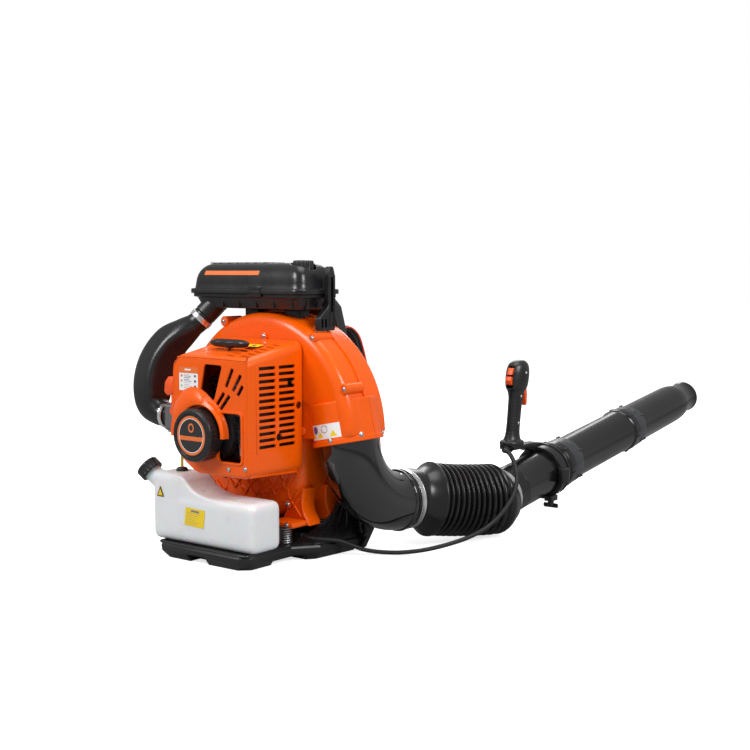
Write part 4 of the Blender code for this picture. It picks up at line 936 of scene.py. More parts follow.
def make_housing_lip():
    """The parting flange round the rim, open at the outlet."""
    line = scroll()[4:-8]
    rings = []
    for i, (x, z) in enumerate(line):
        a = Vector(line[max(i - 1, 0)])
        b = Vector(line[min(i + 1, len(line) - 1)])
        along = (b - a).normalized()
        out = Vector((along.y, -along.x))
        if out.dot(Vector((x, z - HUB_Z))) < 0:
            out = -out
        height = 0.0032
        section = ((-0.001, 0.0462), (height - 0.0008, 0.0462), (height, 0.047), (height, 0.053),
                   (height - 0.0008, 0.0538), (-0.001, 0.0538))
        rings.append([Vector((x + out.x * r, y, z + out.y * r)) for r, y in section])
    detail("housing_lip", loft(rings), "orange", sharp=30)


def make_lattice():
    """Crossed stiffening ribs on the lower front of the housing, and bosses for its screws."""
    parts = []
    front = Vector((0, -1, 0))
    bosses = ((0.0722, 0.0878), (-0.07, 0.0878), (0.02, 0.3675))

    def rib(x0, z0, x1, z1):
        start = Vector((x0, -0.0002, z0))
        end = Vector((x1, -0.0002, z1))
        along = (end - start).normalized()
        bar = block((0, -0.001, -0.0011), ((end - start).length, 0.003, 0.0011), 0.0006, 2)
        parts.append(placed(bar, along, front, along.cross(front), start))

    for k in range(9):
        x = -0.1 + 0.024 * k
        low = max(0.094, HUB_Z - math.sqrt(max(0.0, 0.122 ** 2 - min(abs(x), 0.12) ** 2)))
        rib(x, low, min(0.094, x + 0.034), low + 0.045)
        rib(x, low, max(-0.118, x - 0.034), low + 0.045)
    for side in (1, -1):
        for edge, lean in ((0.0585, 1), (0.1135, -1)):
            flare = ((0.058, 0.0), (0.066, 0.004), (0.076, 0.01), (0.088, 0.0128), (0.104, 0.013),
                     (0.116, 0.01))
            parts.append(bead([(side * (edge + lean * inset), 0.0008, z) for z, inset in flare], 0.0017, 30))
        for x0, z0, x1, z1 in ((0.07, 0.07, 0.098, 0.1), (0.1, 0.07, 0.074, 0.1),
                               (0.074, 0.088, 0.096, 0.112)):
            rib(side * x0, z0, side * x1, z1)
    for radius, start, sweep in ((0.088, 200, 140), (0.112, 212, 116)):
        turns = [math.radians(start + sweep * k / 60) for k in range(61)]
        arc = [Vector((radius * math.cos(t), -0.0002, HUB_Z + radius * math.sin(t))) for t in turns]
        parts.append(swept(arc, [0.0017] * len(arc), sides=10))
    for x, z in bosses + ((0.104, HUB_Z),):
        parts.append(turned([(0, 0.002), (0.0075, 0.002), (0.0068, -0.003), (0.0058, -0.0036), (0, -0.0036)],
                            (x, 0, z), (0, 1, 0), 36))
    detail("housing_ribs", merged(*parts), "orange", sharp=40)
    spots = [((x, -0.0036, z), front, 0.0036) for x, z in bosses]
    spots += [((x, -0.034, 0.0602), front, 0.0036) for x in (0.0965, -0.0965)]
    spots += [((x, 0.004, z), front, 0.0034) for x, z in EARS]
    for swing, along in ((-62, 0.06), (-120, 0.062), (-10, 0.062)):
        out = around(COLLAR_AXIS, math.radians(swing))
        spots.append((COLLAR_TOP + COLLAR_AXIS * along + out * 0.0588, out, 0.0032))
    screws("housing_screws", "root", spots)


def make_collar_label():
    """A plain white label with plain coloured shapes, wrapped round the collar."""
    front = Vector((0, -1, 0))
    side = COLLAR_AXIS.cross(front).normalized()

    def place(u, v):
        swing = math.radians(-36 + 66 * u)
        out = front * math.cos(swing) - side * math.sin(swing)
        return COLLAR_TOP + COLLAR_AXIS * (0.034 + 0.024 * v) + out * 0.0577

    def paint(u, v):
        for x, ink in ((0.23, "blue_ink"), (0.56, "grey_ink")):
            reach = math.hypot((u - x) * 2.7, v - 0.34)
            if reach < 0.27 and (ink == "blue_ink" or reach > 0.22):
                return ink
        height = 0.9 - v
        if 0 < height < 0.46 and any(abs(u - x) * 2.7 < (0.46 - height) * 0.62 for x in (0.11, 0.4, 0.8)):
            return "yellow_label"
        return "white_label"

    label("collar_label", "root", place, 96, 36, paint,
          ["white_label", "yellow_label", "blue_ink", "grey_ink"])


# ---------------------------------------------------------------- engine cover and starter

COVER_FACE = [(-0.074, 0.198), (-0.052, 0.166), (-0.02, 0.147), (0.092, 0.147), (0.1, 0.156), (0.1, 0.33),
              (0.092, 0.339), (-0.052, 0.341), (-0.064, 0.334), (-0.074, 0.318)]
COVER_RIM = [(-0.078, 0.198), (-0.052, 0.162), (-0.02, 0.143), (0.092, 0.143), (0.104, 0.156), (0.104, 0.353),
             (0.096, 0.362), (-0.052, 0.364), (-0.068, 0.357), (-0.078, 0.341)]


def cover_body(shrink, front, rear):
    face = soft_corners(COVER_FACE, 0.01, 5)
    rim = soft_corners(COVER_RIM, 0.01, 5)
    rings = []
    for level, inset in ((0.0, 0.0062), (0.0004, 0.0038), (0.0018, 0.0014), (0.0046, 0.0)):
        rings.append(plate(offset(face, shrink + inset), "Y", front + level))
    rings.append(plate(offset(rim, shrink) if shrink else rim, "Y", rear))
    return loft(rings)


def face_tool(outline):
    """A cutter right through the cover's front."""
    return layered(outline, "Y", ((-0.14, 0), (-0.115, 0)))


def slot_tool(start, end, width):
    a, b = Vector(start), Vector(end)
    along = (b - a).normalized()
    side = Vector((-along.y, along.x)) * width / 2
    outline = [tuple(a + side), tuple(a - side), tuple(b - side), tuple(b + side)]
    return face_tool(soft_corners(outline, 0.0022, 3))


def make_cover():
    bm = cover_body(0.0, -0.125, -0.002)
    bm = cut(bm, cover_body(0.003, -0.122, 0.008))
    window = [(0.003, 0.327), (0.043, 0.326), (0.024, 0.268), (-0.008, 0.279)]
    bm = cut(bm, face_tool(soft_corners(window, 0.006, 4)))
    bm = cut(bm, face_tool(rounded((0.033, 0.172), (0.084, 0.25), 0.006)))
    slots = (((0.066, 0.322), (0.051, 0.292)), ((0.084, 0.313), (0.066, 0.286)),
             ((0.088, 0.296), (0.076, 0.279)),
             ((0.047, 0.283), (0.03, 0.262)), ((0.059, 0.279), (0.038, 0.255)))
    tools = [slot_tool(a, b, 0.0068) for a, b in slots]
    for row in range(13):
        z = 0.322 - 0.0105 * row
        for low, high in ((-0.101, -0.064), (-0.056, -0.019)):
            tools.append(block((0.085, low, z - 0.0027), (0.12, high, z + 0.0027), 0.0012, 2))
    slant = Matrix.Rotation(math.radians(-14), 4, "Z")
    for row in range(6):
        for x in (0.046, 0.077):
            tool = block((-0.0125, -0.0036, -0.02), (0.0125, 0.0036, 0.02), 0.0014, 2)
            turn = Matrix.Translation((x, -0.108 + 0.0145 * row, 0.352)) @ slant
            bmesh.ops.transform(tool, matrix=turn, verts=tool.verts)
            tools.append(tool)
    bm = cut(bm, merged(*tools))
    for y, z in ((-0.0301, 0.295), (-0.0095, 0.257), (-0.056, 0.2089)):
        bm = cut(bm, rod((0.085, y, z), (0.12, y, z), 0.0062, 32))
    bm = cut(bm, rod((0, -0.14, HUB_Z), (0, -0.115, HUB_Z), 0.036, 72))
    bm = cut(bm, rod((0.018, -0.082, 0.33), (0.018, -0.082, 0.39), 0.005, 24))
    stand_in("engine_cover", "cover_skin", bm, "orange", sharp=34)


def starter_collar():
    """The raised collar round the starter, wide over the top and drawn in at its ends."""
    reach = ((-4, 0.056), (30, 0.056), (66, 0.059), (88, 0.069), (104, 0.079), (120, 0.083), (140, 0.0835),
             (160, 0.0835), (186, 0.083))
    rings = []
    for swing, far, _ in smooth_line([(swing / 100, radius * 10, 0) for swing, radius in reach], 70):
        angle = math.radians(swing * 100)
        far /= 10
        middle = 0.05 + (far - 0.05) * 0.55
        section = ((0.0472, -0.124), (0.0472, -0.135), (0.0484, -0.1366), (0.05, -0.137), (middle, -0.1338),
                   (far - 0.0022, -0.1268), (far, -0.124))
        rings.append([(max(-0.0725, r * math.cos(angle)), y, HUB_Z + r * math.sin(angle)) for r,
                      y in section])
    return loft(rings)


def make_cover_details():
    parts = [starter_collar(),
             bezel(rounded((0.0285, 0.168), (0.0885, 0.2545), 0.009),
                   rounded((0.033, 0.172), (0.084, 0.25), 0.006),
                   -0.1245, -0.1262, -0.127, 0.0008, 0.0006)]
    edge = ((-0.069, 0.205), (-0.069, 0.312), (-0.06, 0.331), (-0.045, 0.337), (0.088, 0.335),
            (0.0955, 0.327), (0.0955, 0.16))
    parts.append(bead([(x, -0.1244, z) for x, z in edge], 0.0012, 90))
    parts.append(bead([(0.094, -0.118, 0.15), (0.094, -0.06, 0.148), (0.0955, -0.006, 0.146)], 0.0022, 30,
                      12))
    parts.append(block((0.0995, -0.108, 0.186), (0.1012, -0.1055, 0.326), 0.0006, 2))
    detail("cover_ribs", merged(*parts), "orange", sharp=34)
    heads = ((-0.023, -0.131, 0.2668, 0.0036), (0.093, -0.1262, 0.164, 0.0032), (0.056, -0.1262, 0.16, 0.003),
             (-0.06, -0.1255, 0.2, 0.0032))
    spots = [((x, y, z), (0, -1, 0), radius) for x, y, z, radius in heads]
    spots.insert(1, ((0.101, -0.012, 0.19), (1, 0, 0), 0.0034))
    screws("cover_screws", "root", spots)
    lines = ((0.38, "red_ink"), (0.59, "orange_ink"), (0.8, "green_ink"))

    def sheet_paint(u, v):
        if v < 0.27:
            return "white_label" if 0.3 < u < 0.62 and 0.08 < v < 0.15 else "orange_ink"
        for y, ink in lines:
            if math.hypot((u - 0.13) * 1.15, v - y) < 0.052:
                return ink
            if 0.8 < u < 0.9 and abs(v - y) < 0.042:
                return "dark_ink"
        if v > 0.32 and bars(u, (v - 0.31) / 0.63, 9, 0.25, 0.72, 0.28):
            return "grey_ink"
        return "white_label"

    def top_paint(u, v):
        dark = math.hypot((u - 0.5) * 1.6, v - 0.5) < 0.22 or abs(v - 0.5) > 0.44
        return "dark_ink" if dark else "yellow_label"

    place = flat((-0.0555, -0.1254, 0.3205), (0.0435, 0, 0), (0, 0, -0.039))
    label("cover_label", "root", place, 80, 72, sheet_paint,
          ["white_label", "orange_ink", "grey_ink", "red_ink", "green_ink", "dark_ink"])
    place = flat((0.033, -0.064, 0.3533), (0.029, 0, 0), (0, 0.018, 0.0034))
    label("top_label", "root", place, 48, 32, top_paint, ["yellow_label", "dark_ink"])


def make_cover_shade_sheets():
    """Dark sheets behind the slots in the top and the right side of the cover: painted shade for what shows
    through the slots.
    """
    top = loft([[(-0.06, y, z - 0.006), (0.0915, y, z - 0.006), (0.0915, y, z - 0.0048),
                 (-0.06, y, z - 0.0048)]
                for y, z in ((-0.118, 0.3423), (-0.006, 0.3633))])
    top = cut(top, rod((0.018, -0.082, 0.32), (0.018, -0.082, 0.39), 0.006, 24))
    side = block((0.0932, -0.118, 0.16), (0.0944, -0.006, 0.333), 0.0)
    # The sheets are black moulding put where there is only shade inside the cover: painted shade.
    detail("cover_shade_sheets", merged(top, side), "black", sharp=40)


def emblem_ink(x, z):
    """Dark 0, orange 1 or white 2: a rim, a bar and a ring."""
    radius = math.hypot(x, z)
    if radius > 0.0316:
        return 0
    if radius > 0.0275:
        return 1
    if radius > 0.0266:
        return 2
    ring = 0.004 < math.hypot(x, (z - 0.0125) * 0.86) < 0.0064
    return 1 if ring or -0.008 < z < -0.0012 else 0


def make_starter():
    rim = 0.0435

    def grip(angle, radius, height):
        if radius < 0.0395 or not -0.15 < height < -0.128:
            return radius
        return radius - 0.0007 * (0.5 + 0.5 * math.cos(angle * 36))

    edge = [(0.0345, -0.1532), (0.0352, -0.1545), (0.0372, -0.1545), (0.0405, -0.154), (0.0428, -0.1515),
            (rim, -0.148), (rim, -0.142), (rim, -0.136), (rim, -0.13), (rim, -0.1255), (0.0405, -0.1255),
            (0.0405, -0.15), (0.0055, -0.15), (0.0055, -0.1095)]
    profile = [(0, -0.1532)] + soft_corners(edge, 0.0005, 3) + [(0, -0.1095)]
    stand_in("starter_housing", "starter_skin", turned(profile, ROTOR, (0, 1, 0), 216, grip), "black",
             sharp=40)
    bm = bmesh.new()
    steps, sides = 34, 144
    turns = [TAU * i / sides for i in range(sides)]
    rows = [[bm.verts.new(ROTOR + Vector((0, -0.1535, 0)))]]
    for k in range(1, steps + 1):
        radius = 0.0338 * k / steps
        rows.append([bm.verts.new(ROTOR + Vector((radius * math.cos(t), -0.1535, radius * math.sin(t))))
                     for t in turns])
    for low, high in zip(rows, rows[1:]):
        for i in range(sides):
            j = (i + 1) % sides
            face = bm.faces.new(list(dict.fromkeys([low[i % len(low)], low[j % len(low)], high[j], high[i]])))
            spot = face.calc_center_median() - ROTOR
            face.material_index = emblem_ink(spot.x, spot.z)
    thickened(bm, (0, 0.0004, 0))
    detail("starter_emblem", bm, ["dark_ink", "orange_ink", "white_label"], "root", 30)


def make_grip():
    centre = Vector((0.018, -0.082, 0.359))
    turns = [TAU * i / 28 for i in range(28)]
    rings = []
    for k in range(41):
        t = -1 + 2 * k / 40
        end = math.sqrt(max(0.0, 1 - abs(t) ** 5))
        half_y = 0.0086 * end * (0.93 + 0.07 * math.cos(t * math.pi * 3))
        half_z = 0.0068 * end
        rings.append([centre + Vector((0.043 * t, half_y * math.cos(a),
                                       half_z * math.sin(a))) for a in turns])
    collar = turned([(0, -0.0078), (0.006, -0.0078), (0.0078, -0.005), (0.0078, 0.0), (0, 0.0)], centre,
                    (0, 0, 1), 36)
    stand_in("starter_grip", "grip_skin", merged(loft(rings), collar), "black", "starter_grip", 45)
    top = centre + Vector((0, 0, -0.0073))
    line = [top + Vector((0, 0, -0.024)) * (k / 60) for k in range(61)]

    def twist(angle, i):
        return 1.0 + 0.1 * math.cos(3 * angle + i * 0.55)

    rope = swept(line, [0.0019] * 61, sides=16, shape=twist)
    bridge(["starter_rope"], "rope_skin", rope, "webbing", 80)


# ---------------------------------------------------------------- tray, springs and tank

def make_base():
    stand_in("base_plate", "tray_skin", eased(copied("base_plate"), 0.0022, 3, 25), "black", sharp=40)
    rim = ((-0.0995, -0.05), (-0.0995, -0.118), (-0.088, -0.1335), (0.0, -0.1355), (0.088, -0.1335),
           (0.0995, -0.118), (0.0995, -0.05))
    parts = [bead([(x, y, 0.025) for x, y in rim], 0.0024, 120, 14)]
    seat = [(0, 0.024), (0.0175, 0.024), (0.0165, 0.0256), (0.0148, 0.0259), (0, 0.0259)]
    for x, y in SPRINGS:
        parts.append(turned(seat, (x, y, 0), (0, 0, 1), 40))
    for y in (0.016, 0.052):
        parts.append(block((-0.112, y - 0.0016, 0.0236), (0.112, y + 0.0016, 0.0268), 0.0008, 2))
    detail("tray_ribs", merged(*parts), "black", sharp=40)
    screws("tray_screws", "root", [((x, 0.0945, 0.025), (0, 0, 1), 0.004) for x in (-0.118, 0.118)])


def make_springs():
    turns, per_turn, coil = 8.5, 28, 0.0112
    steps = int(turns * per_turn)
    for index, (x, y) in enumerate(SPRINGS, 1):
        points = []
        for k in range(steps + 1):
            share = k / steps
            rise = min(max((share - 0.08) / 0.84, 0.0), 1.0)
            angle = TAU * k / per_turn
            height = 0.0272 + 0.0268 * rise + 0.001 * share
            points.append(Vector((x + coil * math.cos(angle), y + coil * math.sin(angle), height)))
        wire = swept(points, [0.00135] * len(points), sides=10)
        stand_in(f"mount_spring_{index}", f"coil_{index}", wire, "screw", sharp=60)


def make_tank():
    bm = copied("fuel_tank")
    fall = [(-0.08, 0.1385), (-0.058, 0.1375), (-0.049, 0.1325), (-0.042, 0.1245), (-0.032, 0.1165),
            (-0.016, 0.1105), (0.006, 0.107), (0.03, 0.105), (0.03, 0.09), (-0.08, 0.09)]
    bm = fuse(bm, layered(fall, "Y", ((-0.1232, 0.001), (-0.1215, 0), (-0.06, 0), (-0.0585, 0.001))))
    stand_in("fuel_tank", "tank_skin", melted(bm, 0.0022, 12), "milky", sharp=80)
    upright = bead([(-0.1282, -0.0905, 0.04), (-0.1284, -0.0905, 0.07), (-0.128, -0.0905, 0.108)], 0.0007, 24,
                   8)
    level = bead([(x, -0.0905, 0.1068) for x in (-0.048, 0.0, 0.05, 0.096)], 0.0007, 30, 8)
    detail("tank_seam", merged(upright, level), "milky", sharp=80)

    def note(u, v):
        inside = 0.03 < u < 0.97 and 0.03 < v < 0.97
        title = 0.1 < v < 0.22 and 0.28 < u < 0.72
        if inside and (title or v > 0.28 and bars(u, (v - 0.28) / 0.7, 6, 0.08, 0.86, 0.22, 3)):
            return "grey_ink"
        return "yellow_label"

    place = flat((-0.044, -0.1256, 0.088), (0.045, 0, -0.0016), (-0.004, 0, -0.03))
    label("tank_label", "root", place, 84, 60, note, ["yellow_label", "grey_ink"])
    bm = bmesh.new()
    corners = soft_corners([(-0.1135, 0.099), (-0.0965, 0.099), (-0.105, 0.117)], 0.0022, 4)
    rows = []
    for outline, y in ((corners, -0.125), (corners, -0.1256), (offset(corners, 0.0018), -0.1257)):
        rows.append([bm.verts.new(p) for p in plate(outline, "Y", y)])
    for low, high in zip(rows, rows[1:]):
        for i in range(len(low)):
            j = (i + 1) % len(low)
            bm.faces.new((low[i], low[j], high[j], high[i])).material_index = 1
    bm.faces.new(rows[-1])
    bm.faces.new(rows[0][::-1])
    detail("tank_triangle", bm, ["yellow_label", "dark_ink"], sharp=30)


def make_cap():
    r, reach, depth = 0.0205, 0.012, 0.018

    def flutes(angle, radius, height):
        if radius < r - 0.0012 or not -reach + 0.0012 < height < depth - reach - 0.0035:
            return radius
        return radius - 0.0011 * max(0.0, math.cos(angle * 18)) ** 0.6

    top = depth - reach
    profile = [(0, top - 0.0012), (r - 0.006, top - 0.0012), (r - 0.0052, top), (r - 0.002, top),
               (r - 0.0006, top - 0.001), (r, top - 0.0028), (r, top - 0.004), (r, top - 0.008),
               (r, -reach + 0.003),
               (r, -reach + 0.001), (r - 0.001, -reach), (0.0163, -reach), (0.0163, 0.0006), (0, 0.0006)]
    stand_in("fuel_cap", "cap_skin", turned(profile, NECK_TOP, NECK_AXIS, 216, flutes), "black", "fuel_cap",
             42)


# ---------------------------------------------------------------- air cleaner

def box_line():
    """The air cleaner's outline in X and Y, with a point at least every 12 mm."""
    points = rounded((-0.15, -0.01), (0.11, 0.09), 0.018, 10)
    dense = []
    for point, after in zip(points, points[1:] + points[:1]):
        steps = max(1, int(math.dist(point, after) / 0.006))
        for k in range(steps):
            t = k / steps
            dense.append((point[0] + (after[0] - point[0]) * t, point[1] + (after[1] - point[1]) * t))
    return dense


def box_shell(levels):
    """The air cleaner's outline drawn in by (level, inset), kept in proportion to its centre."""
    rings = []
    for level, inset in levels:
        keep_x = 1 - inset / 0.13
        keep_y = 1 - inset / 0.05
        rings.append([Vector((-0.02 + (x + 0.02) * keep_x, 0.04 + (y - 0.04) * keep_y, level))
                      for x, y in box_line()])
    return loft(rings)


def make_lid():
    bm = box_shell(((0.438, -0.003), (0.4384, -0.0036), (0.445, -0.0036), (0.4462, -0.0028), (0.4464, 0.0012),
                    (0.448, 0.0022), (0.456, 0.0032), (0.464, 0.0044), (0.471, 0.0064), (0.477, 0.0094),
                    (0.482, 0.0134), (0.486, 0.0184), (0.4885, 0.024), (0.4898, 0.031), (0.4902, 0.038)))
    bulge = melted(block((0.03, -0.0125, 0.447), (0.104, 0.03, 0.479), 0.01, 4), 0.0022, 6)
    bm = cut(merged(bm, bulge), rod((0.08, 0.03, 0.478), (0.08, 0.03, 0.52), 0.0215, 64))
    stand_in("air_cleaner_lid", "lid_skin", bm, "satin", "air_cleaner_lid", 36)
    parts = []
    for k in range(7):
        x = -0.128 + 0.021 * k
        parts.append(block((x, 0.02, 0.4893), (x + 0.0028, 0.072, 0.4912), 0.0008, 2))
    parts.append(block((-0.006, -0.0152, 0.433), (0.024, -0.0118, 0.451), 0.0016, 3))
    parts.append(block((-0.001, -0.0166, 0.439), (0.019, -0.0144, 0.4425), 0.0008, 2))
    detail("lid_ribs", merged(*parts), "satin", "air_cleaner_lid", 36)

    def stripe(u, v):
        inset = 0.0096 + (0.0058 - 0.0096) * v
        return Vector((-0.118 + 0.128 * u, 0.04 - 0.0503 * (1 - inset / 0.05) - 0.0003, 0.4768 - 0.0072 * v))

    label("lid_stripe", "air_cleaner_lid", stripe, 60, 6, lambda u, v: "orange_ink", ["orange_ink"])


def make_air_cleaner():
    make_lid()
    bm = box_shell(((0.4125, 0.015), (0.4132, 0.013), (0.42, 0.0095), (0.431, 0.005), (0.432, 0.0012),
                    (0.4324, 0.0), (0.4377, 0.0)))
    bm = fuse(bm, rod((-0.11, 0.022, 0.425), DUCT_START - DUCT_AXIS * 0.0006, 0.02, 64))
    bm = cut(bm, rod((-0.11, 0.022, 0.4205), DUCT_START + DUCT_AXIS * 0.01, 0.0172, 64))
    parts = [bm]
    for x in (-0.118, -0.078, -0.04, 0.000, 0.04, 0.08):
        parts.append(block((x, -0.0035, 0.414), (x + 0.003, 0.008, 0.433), 0.0008, 2))
    for y in (0.012, 0.036, 0.06):
        parts.append(block((0.1, y, 0.414), (0.1065, y + 0.003, 0.433), 0.0008, 2))
    stand_in("air_cleaner_base", "box_skin", merged(*parts), "black", sharp=36)
    for name, x in (("left", -0.04), ("right", 0.052)):
        leg = block((x - 0.016, 0.03, 0.385), (x + 0.016, 0.062, 0.4135), 0.004)
        detail("box_foot_" + name, leg, "black", sharp=36)


def make_knob():
    def lobes(angle, radius, height):
        if radius < 0.015 or height < 0.479:
            return radius
        return radius - 0.0022 * (0.5 - 0.5 * math.cos(angle * 8)) ** 2

    profile = [(0, 0.45), (0.003, 0.45), (0.003, 0.4783), (0.0175, 0.4783), (0.0175, 0.48), (0.0175, 0.49),
               (0.017, 0.4925), (0.0155, 0.4938), (0.008, 0.4944), (0.007, 0.4932), (0, 0.4932)]
    stand_in("air_cleaner_knob", "knob_skin", turned(profile, (0.08, 0.03, 0), (0, 0, 1), 192, lobes),
             "black", "lid_knob", 40)


def make_bracket():
    outline = soft_corners([(0.02, 0.378), (0.06, 0.378), (0.06, 0.47), (0.055, 0.484), (0.046, 0.484),
                            (0.043, 0.47), (0.043, 0.418), (0.02, 0.4)], 0.004, 4)
    bm = layered(outline, "X", ((0.1135, 0.0015), (0.1145, 0.0), (0.1235, 0.0), (0.1245, 0.0015)))
    bm = cut(bm, block((0.11, 0.0485, 0.408), (0.13, 0.0545, 0.466), 0.0012, 2))
    for y in (0.024, 0.033):
        bm = cut(bm, block((0.11, y, 0.383), (0.13, y + 0.005, 0.3975), 0.001, 2))
    ribs = [block((0.1238, y, 0.384), (0.1258, y + 0.0022, 0.47), 0.0008, 2) for y in (0.0452, 0.0562)]
    stand_in("air_cleaner_bracket", "upright_skin", merged(bm, *ribs), "black", sharp=36)


# ---------------------------------------------------------------- back plate and harness

SKIRT = (
    (0.0255, ((0.096, -0.024), (0.122, 0.002), (0.1335, 0.03), (0.137, 0.06), (0.1385, 0.1))),
    (0.045, ((0.102, 0.028), (0.116, 0.042), (0.126, 0.06), (0.131, 0.08), (0.1345, 0.1))),
    (0.07, ((0.1145, 0.064), (0.118, 0.07), (0.1215, 0.079), (0.1245, 0.089), (0.1275, 0.1))),
    (0.095, ((0.115, 0.08), (0.1165, 0.084), (0.118, 0.089), (0.1195, 0.094), (0.121, 0.1))),
    (0.115, ((0.115, 0.09), (0.1155, 0.092), (0.116, 0.095), (0.1165, 0.097), (0.117, 0.1))),
)


def make_skirts():
    """Curved webs that sweep from the back plate down to the flared corners of the tray."""
    rows, spans = 24, 20
    columns = [smooth_line([(level[k][0], level[k][1], z) for z, level in SKIRT], rows) for k in range(5)]
    for name, side in SIDES:
        rings = []
        for row in range(rows):
            line = smooth_line([column[row] for column in columns], spans)
            shell = []
            for i, point in enumerate(line):
                along = (line[min(i + 1, spans - 1)] - line[max(i - 1, 0)]).normalized()
                shell.append(point + Vector((-along.y, along.x, 0)) * 0.0026)
            rings.append([(side * p.x, p.y, p.z) for p in line + shell[::-1]])
        parts = [loft(rings)]
        for column in columns[1:4]:
            route = [Vector((side * (p.x + 0.0004), p.y, p.z)) for p in column]
            parts.append(swept(route, [0.0019] * rows, sides=12))
        detail("skirt_" + name, merged(*parts), "satin", sharp=40)


def make_back_plate():
    stand_in("back_plate", "frame_skin", eased(copied("back_plate"), 0.0016, 2, 30), "black", sharp=38)
    parts = []
    for x in (-0.1, -0.08, 0.08, 0.1):
        low, high = 0.06, 0.33 if abs(x) < 0.09 else 0.27
        route = [(x, 0.1222, low), (x * 0.97, 0.1222, (low + high) / 2), (x * 0.86, 0.1222, high)]
        parts.append(bead(route, 0.0022, 60, 12))
    for z in (0.02, 0.055, 0.356):
        parts.append(block((-0.06, 0.1205, z), (0.06, 0.124, z + 0.0045), 0.0012, 2))
    outer = rounded((-0.056, 0.366), (0.056, 0.402), 0.014)
    inner = rounded((-0.05, 0.372), (0.05, 0.396), 0.011)
    parts.append(bezel(outer, inner, 0.121, 0.1232, 0.1242, 0.001, 0.001))
    for side in (1, -1):
        for k in range(3):
            route = [(side * (0.12 + 0.01 * k), 0.1003, 0.15 - 0.045 * k),
                     (side * (0.14 + 0.004 * k), 0.099, 0.1 - 0.032 * k),
                     (side * (0.147 + 0.001 * k), 0.0985, 0.06 - 0.014 * k)]
            parts.append(bead(route, 0.002, 30))
    detail("frame_ribs", merged(*parts), "black", sharp=38)
    corners = ((-0.118, 0.03), (0.118, 0.03), (-0.07, 0.4), (0.07, 0.4))
    screws("frame_screws", "root", [((x, 0.1222, z), (0, 1, 0), 0.0038) for x, z in corners])


def filled(piece):
    mesh = piece.data
    before = [v.co.copy() for v in mesh.vertices]
    cloth = piece.modifiers.new("fill", "CLOTH")
    cloth.settings.use_pressure = True
    cloth.settings.uniform_pressure_force = 4.0
    cloth.settings.quality = 5
    cloth.settings.effector_weights.gravity = 0.0
    for step in range(1, 21):
        SCENE.frame_set(step)
    done = piece.evaluated_get(bpy.context.evaluated_depsgraph_get())
    after = [v.co.copy() for v in done.data.vertices]
    piece.modifiers.remove(cloth)
    SCENE.frame_set(1)
    for vert, old, new in zip(mesh.vertices, before, after):
        step = new - old
        if step.length > 0.005:
            step *= 0.005 / step.length
        vert.co = old + step


def make_back_pad():
    """A sewn pad: crowned channels between stitched rows, with a piped edge."""
    back = 0.1223
    bm = block((-0.06, back, 0.082), (0.06, 0.136, 0.343), 0.0065, 3)
    piece = linked("pad_skin", melted(bm, 0.0048, 3))
    mesh = piece.data
    filled(piece)
    rows = [0.08 + 0.265 * share for share in (0.2, 0.4, 0.6, 0.8)]
    for vert in mesh.vertices:
        vert.co.y = max(vert.co.y, back)
        face = max(0.0, (vert.co.y - 0.13) / 0.012)
        dip = max(math.exp(-((vert.co.z - z) / 0.0042) ** 2) for z in rows)
        edge = min(1.0, max(0.0, (0.056 - abs(vert.co.x)) / 0.012))
        vert.co.y -= 0.0046 * dip * min(face, 1.0) * edge
        vert.co.y = min(vert.co.y, 0.144)
    mesh.materials.append(M["fabric"])
    mesh.polygons.foreach_set("use_smooth", [True] * len(mesh.polygons))
    smooth = piece.modifiers.new("fine", "SUBSURF")
    smooth.levels = smooth.render_levels = 1
    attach(piece, "root")
    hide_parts("back_pad")
    outline = rounded((-0.0605, 0.0815), (0.0605, 0.3435), 0.01, 8) + [(0.0605, 0.3335)]
    detail("pad_piping", bead([(x, 0.129, z) for x, z in outline], 0.0018, 260), "piping", sharp=80)
    stitches = []
    for z in rows:
        for k in range(20):
            x = -0.052 + 0.0054 * k
            route = [Vector((x, 0.1385, z)), Vector((x + 0.0018, 0.1392, z)), Vector((x + 0.0034, 0.1385, z))]
            stitches.append(swept(route, [0.0004] * 3, sides=6))
    detail("pad_stitches", merged(*stitches), "grey_ink", sharp=80)


def strap_line(side, count):
    route = ((0.063, 0.1255, 0.366), (0.064, 0.138, 0.377), (0.067, 0.154, 0.374), (0.074, 0.165, 0.342),
             (0.088, 0.172, 0.27),
             (0.096, 0.178, 0.215), (0.098, 0.184, 0.16), (0.098, 0.182, 0.11), (0.098, 0.174, 0.075))
    return smooth_line([(x * side, y, z) for x, y, z in route], count)


def strap_frame(points, i):
    """Across the strap and out of its face, at a point of its line."""
    tangent = (points[min(i + 1, len(points) - 1)] - points[max(i - 1, 0)]).normalized()
    across = Vector((1, 0, 0))
    across = (across - tangent * across.dot(tangent)).normalized()
    return across, across.cross(tangent)


